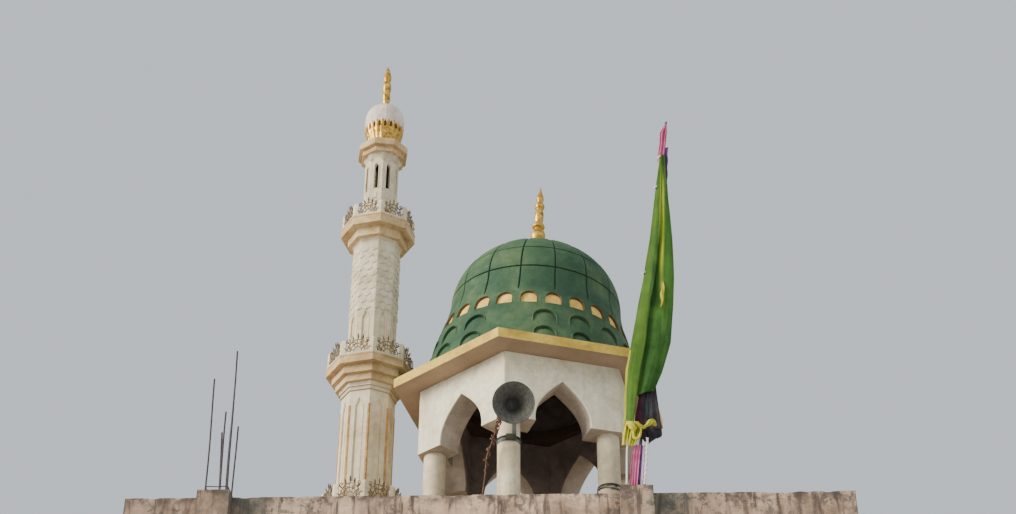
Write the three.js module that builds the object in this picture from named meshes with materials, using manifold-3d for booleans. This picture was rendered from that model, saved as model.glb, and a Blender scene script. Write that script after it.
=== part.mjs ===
// Small two-storey mosque building: plain plastered rooms below, and on the flat roof
// an open six-sided kiosk with a ribbed dome, an eight-sided minaret, a horn speaker and a flag.
// Millimetres, +Z up. The origin is on the ground under the middle of the building, and the front
// faces -Y. An azimuth is counted from -Y towards +X.

import * as THREE from 'three';
import { mergeVertices } from 'three/addons/utils/BufferGeometryUtils.js';
import Module from 'manifold-3d';

const wasm = await Module();
wasm.setup();

// Building block
const GAP = 0.3;
const WIDTH = 6700;
const DEPTH = 6400;
const WALL = 230;
const SLAB = 150;
const STOREY = 3545;
const PARAPET_HEIGHT = 900;
const PIER = 300;
const PIER_PROUD = 150;
const LEFT_PIER_X = -2500;
const RIGHT_PIER_X = 1350;
const CUT_SPARE = 10;

const LEFT = -WIDTH / 2;
const RIGHT = WIDTH / 2;
const FRONT = -DEPTH / 2;
const BACK = DEPTH / 2;
const FLOOR_1 = SLAB + STOREY;
const ROOF = FLOOR_1 + STOREY;
const PARAPET_TOP = ROOF + PARAPET_HEIGHT;

// Pointed openings: the rise of the pointed head is a share of the opening's width
const HEAD_RISE = 0.817;
const WINDOW_WIDTH = 800;
const WINDOW_SILL = 900;
const WINDOW_JAMB = 850;
const DOOR_WIDTH = 1500;
const DOOR_JAMB = 1400;
const BAY_MIDDLE_X = (LEFT_PIER_X + RIGHT_PIER_X) / 2;
const PAIR_OFFSET = 850;
const RIGHT_BAY_X = 2425;
const SIDE_WINDOW_Y = 1500;

// Kiosk
const KIOSK_X = 378;
const KIOSK_Y = FRONT + 1493;
const KIOSK_AZIMUTH = -11.6;
const KIOSK_RADIUS = 1204;
const COLUMN_CIRCLE = 1025;
const COLUMN_RADIUS = 113;
const SPRING = ROOF + 1890;
const PANEL_HEIGHT = 730;
const PANEL_DEPTH = 280;
const ARCH_HALF = 281;
const ARCH_RISE = 474;
const SOFFIT = SPRING + PANEL_HEIGHT;
const EAVE_RADIUS = 1486;
const EAVE_THICK = 104;
const EAVE_TOP = SOFFIT + EAVE_THICK;
const OCULUS_RADIUS = 700;

// Dome: a round cap over a skirt that flares towards the eave, set a little beside the kiosk's middle
const DOME_OFFSET_X = 30;
const CAP_RADIUS = 927;
const CAP_CENTRE = 1060;
const CAP_HEIGHT = 800;
const DOME_SHELL = 90;
const DOME_SEGMENTS = 32;
const FINIAL_OFFSET_X = 65;
const DOME_FINIAL_HEIGHT = 940;

// Minaret
const MINARET_X = -1356;
const MINARET_Y = FRONT + 1581;
const MINARET_AZIMUTH = 9.3;
const CROWN_AZIMUTH = 32.5;
const PEDESTAL_RADIUS = 385;
const PEDESTAL_TOP = 8570;
const BASE_TOP = 8690;
const BASE_RADIUS = 430;
const LOWER_RADIUS = 287;
const LOWER_TOP = 10100;
const LOWER_DECK = 10370;
const LOWER_DECK_RADIUS = 471;
const MIDDLE_RADIUS = 261;
const MIDDLE_TOP = 11990;
const UPPER_DECK = 12220;
const UPPER_DECK_RADIUS = 420;
const LANTERN_RADIUS = 195;
const LANTERN_WALL = 45;
const LANTERN_TOP = 13240;
const CROWN_TOP = 13400;
const CROWN_RADIUS = 302;
const BALL_RADIUS = 232;
const BALL_TOP = 14070;
const MINARET_TOP = 14740;
const RAIL_THICK = 34;
const RAIL_HOLE_SHARE = 0.32;
const BASE_RAIL_HEIGHT = 230;
const LOWER_RAIL_HEIGHT = 230;
const UPPER_RAIL_HEIGHT = 210;
const FACE_RECESS = 12;
const RECESS_HALF_SHARE = 0.13;
const RECESS_POINT = 2.4;
const NECK_SLOPE = 2.2;
const LOWER_NECK = 325;
const MIDDLE_NECK = 285;
const LANCET_TOP = 11020;
const SLIT_WIDTH = 50;
const SLIT_SILL = 520;
const SLIT_JAMB = 320;
const BALL_CENTRE = 13840;
const BALL_FOOT_RADIUS = 175;
const EIGHTH = 45;

// Stepped decks of the minaret from bottom to top, each step [radius, height]
const BASE_TIERS = [[BASE_RADIUS - 30, 50], [BASE_RADIUS, 70]];
const LOWER_TIERS = [[360, 80], [405, 90], [LOWER_DECK_RADIUS, 100]];
const UPPER_TIERS = [[335, 115], [UPPER_DECK_RADIUS, 115]];
const CROWN_TIERS = [[CROWN_RADIUS - 42, 70], [CROWN_RADIUS, 90]];

// Finials: radius of the foot and stem, then the balls as [height, radius]
const DOME_FINIAL = {
  foot: 150,
  stem: 16,
  balls: [[115, 55], [255, 78], [393, 60], [540, 55], [669, 50], [800, 26]],
};
const MINARET_FINIAL = { foot: 40, stem: 12, balls: [[130, 46], [262, 50], [380, 34]] };
const COLLAR_SHARE = 0.03;

// Horn speaker on the nearest kiosk column
const HORN_RADIUS = 200;
const HORN_LENGTH = 330;
const HORN_WALL = 5;
const BELL_FLARE = 160;
const BELL_DECAY = 95;
const BELL_DEPTH = 212;
const THROAT_RADIUS = 40;
const DRIVER_RADIUS = 60;
const DRIVER_START = 235;
const HORN_MOUTH = new THREE.Vector3(232, -3225, 9080);
const HORN_TILT = 22;
const HORN_TURN = 6;
const STRAP_Z = 8890;
const STRAP_HEIGHT = 40;
const STRAP_THICK = 6;
const HORN_SEAT = new THREE.Vector3(231.5, -2951, 9125.5);
const ARM_HALF = 20;
const ARM_THICK = 8;
const CABLE_RADIUS = 7;
const CONDUIT_X = -150;
const CONDUIT_Y = -2760;
const CONDUIT_RADIUS = 20;
const CONDUIT_TOP = ROOF + 180;
const LEAD_ROUTE = [
  [143, -2960, 9188],
  [112, -2960, 9180],
  [76, -2935, 9125],
  [40, -2890, 9010],
  [-12, -2860, 8780],
  [-60, -2830, 8480],
  [-110, -2795, 8000],
  [-145, -2766, 7650],
  [CONDUIT_X, CONDUIT_Y, CONDUIT_TOP + 90],
  [CONDUIT_X, CONDUIT_Y, CONDUIT_TOP + 40],
  [CONDUIT_X, CONDUIT_Y, CONDUIT_TOP + 2 * GAP],
];

// Flag on a leaning pole over the right pier
const POLE_FOOT = new THREE.Vector3(1357, -3240, PARAPET_TOP + 2.3);
const POLE_TIP = new THREE.Vector3(1864, -3125, 12550);
const POLE_RADIUS = 17;
const FLAG_THICK = 80;
const BANNER_THICK = 70;
const WRAP_RADIUS = 45;
const WRAP_LOW = 12;
const WRAP_HEIGHT = 360;

// Edges of the cloths beside the pole: height along the pole, left edge, right edge
const FLAG_ROWS = [
  [480, -160, 0],
  [715, -165, 30],
  [980, -180, 76],
  [1250, -191, 154],
  [1600, -167, 216],
  [2000, -137, 217],
  [2360, -103, 206],
  [2850, -75, 163],
  [3350, -60, 92],
  [3940, -40, 20],
];
const BANNER_EDGE = POLE_RADIUS + 2 * GAP;
const BANNER_ROWS = [
  [560, BANNER_EDGE, 150],
  [610, BANNER_EDGE, 175],
  [1100, BANNER_EDGE, 160],
  [1350, BANNER_EDGE, 110],
];

// Starter bars left standing out of the left pier: foot x, foot row (-1 front, 1 back), height, lean
const BAR_RADIUS = 9;
const TIE_RADIUS = 5;
const TIE_HEIGHT = 45;
const BAR_ROW = 108;
const BARS = [
  { x: -85, row: -1, height: 1190, lean: -36 },
  { x: -5, row: 1, height: 725, lean: -35 },
  { x: 45, row: -1, height: 832, lean: -20 },
  { x: 60, row: 1, height: 1627, lean: -44 },
  { x: 118, row: -1, height: 1016, lean: -40 },
  { x: 118, row: 1, height: 789, lean: -16 },
];

const rad = THREE.MathUtils.degToRad;
const model = new THREE.Group();

function finish(color, roughness, metalness = 0) {
  return new THREE.MeshStandardMaterial({ color, roughness, metalness });
}

const plaster = () => finish(0xb9a58e, 0.95);
const paintedPlaster = () => finish(0xe9d9b4, 0.9);
const yellowPaint = () => finish(0xd9b04a, 0.85);
const greenPaint = () => finish(0x3f6f4a, 0.7);
const goldPaint = () => finish(0xc79a3a, 0.45, 0.6);
const greyMetal = () => finish(0x5c6257, 0.6, 0.5);
const rustySteel = () => finish(0x5a3a2a, 0.9, 0.4);
const greenCloth = () => finish(0x3f8a2c, 0.9);
const darkCloth = () => finish(0x33282c, 0.95);
const pinkCloth = () => finish(0xb8476a, 0.9);
const cableSheath = () => finish(0x5a2f1c, 0.8);

function place(parent, name, geometry, material) {
  const mesh = new THREE.Mesh(geometry, material);
  mesh.name = name;
  parent.add(mesh);
  return mesh;
}

function toManifold(geometry) {
  const bare = geometry.clone();
  bare.deleteAttribute('normal');
  bare.deleteAttribute('uv');
  const merged = mergeVertices(bare, 1e-3);
  const mesh = new wasm.Mesh({
    numProp: 3,
    vertProperties: new Float32Array(merged.attributes.position.array),
    triVerts: new Uint32Array(merged.index.array),
  });
  mesh.merge();
  return new wasm.Manifold(mesh);
}

function toGeometry(manifold) {
  const mesh = manifold.getMesh();
  const geometry = new THREE.BufferGeometry();
  geometry.setAttribute('position', new THREE.BufferAttribute(mesh.vertProperties, 3));
  geometry.setIndex(new THREE.BufferAttribute(mesh.triVerts, 1));
  geometry.computeVertexNormals();
  return geometry;
}

function cut(geometry, cutters) {
  let solid = toManifold(geometry);
  for (const cutter of cutters) {
    solid = solid.subtract(toManifold(cutter));
  }
  return toGeometry(solid);
}

function join(geometries) {
  let solid = toManifold(geometries[0]);
  for (const geometry of geometries.slice(1)) {
    solid = solid.add(toManifold(geometry));
  }
  return toGeometry(solid);
}

function block(x0, x1, y0, y1, z0, z1) {
  const geometry = new THREE.BoxGeometry(x1 - x0, y1 - y0, z1 - z0);
  geometry.translate((x0 + x1) / 2, (y0 + y1) / 2, (z0 + z1) / 2);
  return geometry;
}

// A closed profile of [radius, height] pairs turned about the upright axis
function turned(profile, sides, azimuth = 0) {
  const points = profile.map(([radius, height]) => new THREE.Vector2(radius, height));
  const geometry = new THREE.LatheGeometry(points, sides, rad(azimuth));
  geometry.rotateX(Math.PI / 2);
  return geometry;
}

// A solid of revolution or prism that is full to its axis: the pairs run from bottom to top
function solidOfTurn(profile, sides, azimuth = 0) {
  const first = profile[0];
  const last = profile[profile.length - 1];
  return turned([[0, first[1]], ...profile, [0, last[1]]], sides, azimuth);
}

// Half of a pointed head, from the right foot to the apex, for an opening of the given half width
function pointedHead(half, rise) {
  return new THREE.CubicBezierCurve(
    new THREE.Vector2(half, 0),
    new THREE.Vector2(half * 1.076, rise * 0.4),
    new THREE.Vector2(half * 0.638, rise * 0.686),
    new THREE.Vector2(0, rise),
  );
}

function headPoints(half, rise, steps) {
  const right = pointedHead(half, rise).getPoints(steps);
  const left = right.slice(0, -1).reverse().map((point) => new THREE.Vector2(-point.x, point.y));
  return [...right, ...left];
}

// The body that an opening takes out of a wall: jambs, then a pointed head
function openingCutter(width, sill, jamb, depth, steps = 6) {
  const half = width / 2;
  const head = headPoints(half, width * HEAD_RISE, steps);
  const shape = new THREE.Shape();
  shape.moveTo(-half, sill);
  shape.lineTo(half, sill);
  for (const point of head) {
    shape.lineTo(point.x, sill + jamb + point.y);
  }
  shape.closePath();
  const geometry = new THREE.ExtrudeGeometry(shape, { depth, bevelEnabled: false });
  geometry.rotateX(Math.PI / 2);
  geometry.translate(0, depth / 2, 0);
  return geometry;
}

function windowCutter(floor) {
  return openingCutter(WINDOW_WIDTH, floor + WINDOW_SILL, WINDOW_JAMB, WALL * 3);
}

function doorCutter(floor) {
  return openingCutter(DOOR_WIDTH, floor - SLAB, DOOR_JAMB + SLAB, WALL * 3);
}

// Grooves that let the piers into the outer half of a long wall, parapet or slab
function pierGrooves(side, z0, z1) {
  const face = side * DEPTH / 2;
  const inner = side * (DEPTH / 2 - (PIER - PIER_PROUD) - GAP);
  const outer = face + side * CUT_SPARE;
  const y0 = Math.min(inner, outer);
  const y1 = Math.max(inner, outer);
  const half = PIER / 2 + GAP;
  const low = z0 - CUT_SPARE;
  const high = z1 + CUT_SPARE;
  return [LEFT_PIER_X, RIGHT_PIER_X].map((x) => block(x - half, x + half, y0, y1, low, high));
}

function makeSlab(name, z0, z1) {
  const plate = block(LEFT, RIGHT, FRONT, BACK, z0, z1);
  const notches = [...pierGrooves(-1, z0, z1), ...pierGrooves(1, z0, z1)];
  place(model, name, cut(plate, notches), plaster());
}

// A long wall on the front (side -1) or back (side 1), with pier grooves and openings
function makeLongWall(name, side, z0, z1, openings) {
  const outer = side * DEPTH / 2;
  const inner = side * (DEPTH / 2 - WALL);
  const wall = block(LEFT, RIGHT, Math.min(outer, inner), Math.max(outer, inner), z0, z1);
  const cutters = pierGrooves(side, z0, z1);
  for (const { x, cutter } of openings) {
    cutters.push(cutter.translate(x, side * (DEPTH / 2 - WALL / 2), 0));
  }
  place(model, name, cut(wall, cutters), plaster());
}

// A side wall on the left (side -1) or right (side 1), between the long walls
function makeSideWall(name, side, z0, z1, openings) {
  const outer = side * WIDTH / 2;
  const inner = side * (WIDTH / 2 - WALL);
  const y = DEPTH / 2 - WALL - GAP;
  const wall = block(Math.min(outer, inner), Math.max(outer, inner), -y, y, z0, z1);
  const cutters = openings.map(({ y: along, cutter }) => {
    cutter.rotateZ(Math.PI / 2);
    return cutter.translate(side * (WIDTH / 2 - WALL / 2), along, 0);
  });
  place(model, name, cut(wall, cutters), plaster());
}

function windowTrio(floor) {
  const places = [BAY_MIDDLE_X - PAIR_OFFSET, BAY_MIDDLE_X + PAIR_OFFSET, RIGHT_BAY_X];
  return places.map((x) => ({ x, cutter: windowCutter(floor) }));
}

function sidePair(floor) {
  return [-SIDE_WINDOW_Y, SIDE_WINDOW_Y].map((y) => ({ y, cutter: windowCutter(floor) }));
}

function makeStorey(level, floor, frontOpenings) {
  const z0 = floor + GAP;
  const z1 = floor + STOREY - SLAB - GAP;
  makeLongWall(`front_wall_${level}`, -1, z0, z1, frontOpenings);
  makeLongWall(`back_wall_${level}`, 1, z0, z1, windowTrio(floor));
  makeSideWall(`left_wall_${level}`, -1, z0, z1, sidePair(floor));
  makeSideWall(`right_wall_${level}`, 1, z0, z1, sidePair(floor));
}

function makeBlockBelow() {
  makeSlab('plinth_floor', 0, SLAB);
  makeStorey('lower', SLAB, [
    { x: BAY_MIDDLE_X, cutter: doorCutter(SLAB) },
    { x: RIGHT_BAY_X, cutter: windowCutter(SLAB) },
  ]);
  makeSlab('first_floor_slab', FLOOR_1 - SLAB, FLOOR_1);
  makeStorey('upper', FLOOR_1, windowTrio(FLOOR_1));
  makeSlab('roof_slab', ROOF - SLAB, ROOF);
}

function makeParapets() {
  const z0 = ROOF + GAP;
  makeLongWall('front_parapet', -1, z0, PARAPET_TOP, []);
  makeLongWall('back_parapet', 1, z0, PARAPET_TOP, []);
  makeSideWall('left_parapet', -1, z0, PARAPET_TOP, []);
  makeSideWall('right_parapet', 1, z0, PARAPET_TOP, []);
}

function makePiers() {
  for (const [depthName, side] of [['front', -1], ['back', 1]]) {
    for (const [widthName, x] of [['left', LEFT_PIER_X], ['right', RIGHT_PIER_X]]) {
      const outer = side * (DEPTH / 2 + PIER_PROUD);
      const inner = outer - side * PIER;
      const y0 = Math.min(outer, inner);
      const y1 = Math.max(outer, inner);
      const geometry = block(x - PIER / 2, x + PIER / 2, y0, y1, 0, PARAPET_TOP);
      place(model, `${depthName}_${widthName}_pier`, geometry, plaster());
    }
  }
}

// Kiosk pieces stand in a group whose origin is on the roof under the dome's axis
function makeKioskColumns(kiosk) {
  for (let i = 0; i < 6; i += 1) {
    const azimuth = rad(KIOSK_AZIMUTH + 60 * i);
    const column = new THREE.CylinderGeometry(COLUMN_RADIUS, COLUMN_RADIUS, SPRING - ROOF - 2 * GAP, 24);
    column.rotateX(Math.PI / 2);
    column.translate(0, 0, (SPRING - ROOF) / 2);
    const mesh = place(kiosk, `kiosk_column_${i + 1}`, column, paintedPlaster());
    mesh.position.set(COLUMN_CIRCLE * Math.sin(azimuth), -COLUMN_CIRCLE * Math.cos(azimuth), 0);
  }
}

// One side of the arched ring: a thick panel with a pointed arch, mitred to its neighbours
function archPanel() {
  const half = KIOSK_RADIUS / 2;
  const shape = new THREE.Shape();
  shape.moveTo(half, 0);
  shape.lineTo(half, PANEL_HEIGHT - GAP);
  shape.lineTo(-half, PANEL_HEIGHT - GAP);
  shape.lineTo(-half, 0);
  for (const point of headPoints(ARCH_HALF, ARCH_RISE, 9).reverse()) {
    shape.lineTo(point.x, point.y);
  }
  shape.closePath();
  const panel = new THREE.ExtrudeGeometry(shape, { depth: PANEL_DEPTH, bevelEnabled: false });
  const position = panel.attributes.position;
  for (let i = 0; i < position.count; i += 1) {
    const x = position.getX(i);
    if (Math.abs(x) > half - 1) {
      const depth = PANEL_DEPTH - position.getZ(i);
      position.setX(i, Math.sign(x) * (half - depth * Math.tan(rad(30)) - GAP));
    }
  }
  panel.rotateX(Math.PI / 2);
  panel.translate(0, PANEL_DEPTH, 0);
  return panel;
}

function makeArchPanels(kiosk) {
  const apothem = KIOSK_RADIUS * Math.cos(rad(30));
  for (let i = 0; i < 6; i += 1) {
    const panel = archPanel();
    panel.translate(0, -apothem, SPRING - ROOF);
    panel.rotateZ(rad(KIOSK_AZIMUTH + 30 + 60 * i));
    place(kiosk, `kiosk_arch_${i + 1}`, panel, paintedPlaster());
  }
}

function makeEave(kiosk) {
  const plate = solidOfTurn([[EAVE_RADIUS, 0], [EAVE_RADIUS, EAVE_THICK - GAP]], 6, KIOSK_AZIMUTH);
  const oculus = new THREE.CylinderGeometry(OCULUS_RADIUS, OCULUS_RADIUS, EAVE_THICK * 3, DOME_SEGMENTS);
  oculus.rotateX(Math.PI / 2);
  const eave = cut(plate, [oculus]);
  eave.translate(0, 0, SOFFIT - ROOF);
  place(kiosk, 'kiosk_eave', eave, yellowPaint());
}

// Outer outline of the dome, [radius, height over the eave], from the eave to the crown
function domeOutline() {
  const skirt = new THREE.CatmullRomCurve3([
    new THREE.Vector3(1199, 0, 0),
    new THREE.Vector3(1130, 180, 0),
    new THREE.Vector3(1079, 370, 0),
    new THREE.Vector3(1030, 600, 0),
    new THREE.Vector3(968, 800, 0),
    new THREE.Vector3(CAP_RADIUS + 4, CAP_CENTRE - 80, 0),
  ]);
  const outline = skirt.getPoints(7).map((point) => [point.x, point.y]);
  for (let angle = 6; angle < 90; angle += 12) {
    outline.push([CAP_RADIUS * Math.cos(rad(angle)), CAP_CENTRE + CAP_HEIGHT * Math.sin(rad(angle))]);
  }
  return outline;
}

function makeDome(kiosk) {
  const innerRadius = CAP_RADIUS - DOME_SHELL;
  const innerHeight = CAP_HEIGHT - DOME_SHELL;
  const profile = [[0, CAP_CENTRE + innerHeight]];
  for (let angle = 72; angle >= 0; angle -= 18) {
    profile.push([innerRadius * Math.cos(rad(angle)), CAP_CENTRE + innerHeight * Math.sin(rad(angle))]);
  }
  profile.push([innerRadius, 0], ...domeOutline(), [0, CAP_CENTRE + CAP_HEIGHT]);
  const dome = turned(profile, DOME_SEGMENTS);
  dome.translate(DOME_OFFSET_X, 0, EAVE_TOP - ROOF);
  place(kiosk, 'dome_shell', dome, greenPaint());
}

// Gilded finial: collar, stacked balls and a spike, each ball [height, radius]
function finialProfile(height, { foot, stem, balls }) {
  const profile = [[foot, 0], [foot, height * COLLAR_SHARE], [stem, height * COLLAR_SHARE * 2]];
  for (const [centre, radius] of balls) {
    for (const step of [-1, -0.4, 0.4, 1]) {
      const swell = Math.sqrt(1 - step * step * 0.9);
      profile.push([Math.max(stem, radius * swell), centre + radius * step]);
    }
  }
  profile.push([stem * 0.5, height - 2]);
  profile.push([stem * 0.2, height]);
  return profile;
}

function makeDomeFinial(kiosk) {
  const finial = solidOfTurn(finialProfile(DOME_FINIAL_HEIGHT, DOME_FINIAL), 12);
  finial.translate(FINIAL_OFFSET_X, 0, EAVE_TOP - ROOF + CAP_CENTRE + CAP_HEIGHT + GAP);
  place(kiosk, 'dome_finial', finial, goldPaint());
}

function makeKiosk() {
  const kiosk = new THREE.Group();
  kiosk.position.set(KIOSK_X, KIOSK_Y, ROOF);
  makeKioskColumns(kiosk);
  makeArchPanels(kiosk);
  makeEave(kiosk);
  makeDome(kiosk);
  makeDomeFinial(kiosk);
  model.add(kiosk);
}

// A thin eight-sided railing with one arched opening in each side
function railing(radius, z0, z1) {
  const inner = radius - RAIL_THICK;
  const section = [[inner, z0], [radius, z0], [radius, z1], [inner, z1], [inner, z0]];
  const ring = turned(section, 8, MINARET_AZIMUTH);
  const side = 2 * radius * Math.sin(rad(22.5));
  const height = z1 - z0;
  const cutters = [];
  for (let i = 0; i < 8; i += 1) {
    const half = height * RAIL_HOLE_SHARE;
    const hole = new THREE.CylinderGeometry(half, half, RAIL_THICK * 4, 8);
    hole.scale(side / height, 1, 1);
    hole.translate(0, -radius, (z0 + z1) / 2);
    hole.rotateZ(rad(MINARET_AZIMUTH + EIGHTH * (i + 0.5)));
    cutters.push(hole);
  }
  return cut(ring, cutters);
}

// An eight-sided shaft with a slim pointed recess in each face
function shaft(radius, z0, z1, neckRadius, recessLow, recessHigh) {
  const body = solidOfTurn([
    [radius, z0],
    [radius, z1 - (neckRadius - radius) * NECK_SLOPE],
    [neckRadius, z1],
  ], 8, MINARET_AZIMUTH);
  const apothem = radius * Math.cos(rad(22.5));
  const half = radius * RECESS_HALF_SHARE;
  const pointFoot = recessHigh - half * RECESS_POINT;
  const shape = new THREE.Shape();
  shape.moveTo(-half, recessLow);
  shape.lineTo(half, recessLow);
  shape.lineTo(half, pointFoot);
  shape.lineTo(0, recessHigh);
  shape.lineTo(-half, pointFoot);
  shape.closePath();
  const cutters = [];
  for (let i = 0; i < 8; i += 1) {
    const recess = new THREE.ExtrudeGeometry(shape, { depth: FACE_RECESS * 5, bevelEnabled: false });
    recess.rotateX(Math.PI / 2);
    recess.translate(0, -apothem + FACE_RECESS, 0);
    recess.rotateZ(rad(MINARET_AZIMUTH + EIGHTH * (i + 0.5)));
    cutters.push(recess);
  }
  return cut(body, cutters);
}

// Stepped deck under a balcony, stacked from its foot up
function deck(foot, tiers, azimuth) {
  const profile = [];
  let low = foot;
  for (const [radius, height] of tiers) {
    profile.push([radius, low]);
    low += height;
    profile.push([radius, low]);
  }
  return solidOfTurn(profile, 8, azimuth);
}

function lanternBody() {
  const inner = LANTERN_RADIUS - LANTERN_WALL;
  const z0 = UPPER_DECK + GAP;
  const z1 = LANTERN_TOP - GAP;
  const tube = turned([
    [inner, z0],
    [LANTERN_RADIUS, z0],
    [LANTERN_RADIUS, z1 - 60],
    [LANTERN_RADIUS + 30, z1],
    [inner, z1],
    [inner, z0],
  ], 8, MINARET_AZIMUTH);
  const cutters = [];
  for (let i = 0; i < 8; i += 1) {
    const slit = openingCutter(SLIT_WIDTH, UPPER_DECK + SLIT_SILL, SLIT_JAMB, LANTERN_WALL * 3, 2);
    slit.translate(0, -LANTERN_RADIUS * Math.cos(rad(EIGHTH / 2)), 0);
    slit.rotateZ(rad(MINARET_AZIMUTH + EIGHTH * (i + 0.5)));
    cutters.push(slit);
  }
  return cut(tube, cutters);
}

function ballProfile() {
  const profile = [[BALL_FOOT_RADIUS, CROWN_TOP + GAP], [BALL_FOOT_RADIUS * 0.96, CROWN_TOP + 60]];
  for (let step = -3; step <= 4; step += 1) {
    const angle = rad(step * 18);
    profile.push([BALL_RADIUS * Math.cos(angle), BALL_CENTRE + BALL_RADIUS * Math.sin(angle)]);
  }
  profile.push([MINARET_FINIAL.foot * 0.65, BALL_TOP]);
  return profile;
}

function makeMinaretFoot(minaret) {
  const outline = [[PEDESTAL_RADIUS, ROOF + GAP], [PEDESTAL_RADIUS, PEDESTAL_TOP - GAP]];
  place(minaret, 'minaret_pedestal', solidOfTurn(outline, 8, MINARET_AZIMUTH), paintedPlaster());
  place(minaret, 'minaret_base_slab', deck(PEDESTAL_TOP, BASE_TIERS, MINARET_AZIMUTH), paintedPlaster());
  const rail = railing(BASE_RADIUS - 5, BASE_TOP + GAP, BASE_TOP + BASE_RAIL_HEIGHT);
  place(minaret, 'minaret_base_railing', rail, yellowPaint());
}

function makeLowerStage(minaret) {
  const z0 = BASE_TOP + GAP;
  const z1 = LOWER_TOP - GAP;
  const body = shaft(LOWER_RADIUS, z0, z1, LOWER_NECK, BASE_TOP + 260, LOWER_TOP - 180);
  place(minaret, 'minaret_lower_shaft', body, paintedPlaster());
  place(minaret, 'minaret_lower_cornice', deck(LOWER_TOP, LOWER_TIERS, MINARET_AZIMUTH), paintedPlaster());
  const rail = railing(LOWER_DECK_RADIUS - 8, LOWER_DECK + GAP, LOWER_DECK + LOWER_RAIL_HEIGHT);
  place(minaret, 'minaret_lower_railing', rail, yellowPaint());
}

function makeMiddleStage(minaret) {
  const z0 = LOWER_DECK + GAP;
  const z1 = MIDDLE_TOP - GAP;
  const body = shaft(MIDDLE_RADIUS, z0, z1, MIDDLE_NECK, LOWER_DECK + 210, LANCET_TOP);
  place(minaret, 'minaret_middle_shaft', body, paintedPlaster());
  place(minaret, 'minaret_upper_cornice', deck(MIDDLE_TOP, UPPER_TIERS, MINARET_AZIMUTH), paintedPlaster());
  const rail = railing(UPPER_DECK_RADIUS - 8, UPPER_DECK + GAP, UPPER_DECK + UPPER_RAIL_HEIGHT);
  place(minaret, 'minaret_upper_railing', rail, yellowPaint());
}

function makeLanternStage(minaret) {
  place(minaret, 'minaret_lantern', lanternBody(), paintedPlaster());
  place(minaret, 'minaret_crown', deck(LANTERN_TOP, CROWN_TIERS, CROWN_AZIMUTH), paintedPlaster());
  place(minaret, 'minaret_ball_dome', solidOfTurn(ballProfile(), 16), paintedPlaster());
  const finial = solidOfTurn(finialProfile(MINARET_TOP - BALL_TOP, MINARET_FINIAL), 10);
  finial.translate(0, 0, BALL_TOP + GAP);
  place(minaret, 'minaret_finial', finial, goldPaint());
}

function makeMinaret() {
  const minaret = new THREE.Group();
  minaret.position.set(MINARET_X, MINARET_Y, 0);
  makeMinaretFoot(minaret);
  makeLowerStage(minaret);
  makeMiddleStage(minaret);
  makeLanternStage(minaret);
  model.add(minaret);
}

// Horn: the bell opens towards -Y in its own frame, with the driver behind it
function hornProfile() {
  const bell = (depth) => BELL_FLARE * Math.exp(-depth / BELL_DECAY) + THROAT_RADIUS;
  const outer = [
    [0, HORN_LENGTH],
    [DRIVER_RADIUS - 8, HORN_LENGTH],
    [DRIVER_RADIUS, HORN_LENGTH - 12],
    [DRIVER_RADIUS, DRIVER_START],
    [THROAT_RADIUS + 6, DRIVER_START - 13],
  ];
  const inner = [];
  const steps = 6;
  const lip = 6;
  for (let i = 0; i <= steps; i += 1) {
    const depth = BELL_DEPTH * (1 - i / steps);
    outer.push([bell(depth) + HORN_WALL, depth + lip]);
    inner.push([bell(depth), depth + lip]);
  }
  outer.push([HORN_RADIUS + HORN_WALL, 0]);
  inner.push([HORN_RADIUS, 0]);
  return [...outer, ...inner.reverse(), [0, BELL_DEPTH - lip]];
}

function makeHorn() {
  const aim = new THREE.Group();
  aim.position.copy(HORN_MOUTH);
  aim.rotation.z = rad(HORN_TURN);
  const points = hornProfile().reverse().map(([radius, depth]) => new THREE.Vector2(radius, depth));
  const horn = place(aim, 'horn_speaker', new THREE.LatheGeometry(points, 20), greyMetal());
  horn.rotation.x = rad(HORN_TILT);
  model.add(aim);
}

function hornColumnCentre() {
  const azimuth = rad(KIOSK_AZIMUTH);
  const x = KIOSK_X + COLUMN_CIRCLE * Math.sin(azimuth);
  const y = KIOSK_Y - COLUMN_CIRCLE * Math.cos(azimuth);
  return new THREE.Vector2(x, y);
}

// A strap round the column and an arm that reaches forward to the neck of the horn
function makeHornBracket() {
  const inner = COLUMN_RADIUS + GAP;
  const outer = inner + STRAP_THICK;
  const column = hornColumnCentre();
  const strap = turned([
    [inner, STRAP_Z],
    [outer, STRAP_Z],
    [outer, STRAP_Z + STRAP_HEIGHT],
    [inner, STRAP_Z + STRAP_HEIGHT],
    [inner, STRAP_Z],
  ], 24);
  strap.translate(column.x, column.y, 0);
  const back = column.y - outer + STRAP_THICK / 2;
  const seatLeft = HORN_SEAT.x - ARM_HALF;
  const seatRight = HORN_SEAT.x + ARM_HALF;
  const armTop = STRAP_Z + ARM_THICK;
  const arm = block(column.x - ARM_HALF, seatRight, HORN_SEAT.y, back, STRAP_Z, armTop);
  const upright = block(seatLeft, seatRight, HORN_SEAT.y, HORN_SEAT.y + ARM_THICK, STRAP_Z, HORN_SEAT.z);
  place(model, 'horn_bracket', join([strap, arm, upright]), greyMetal());
}

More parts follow.
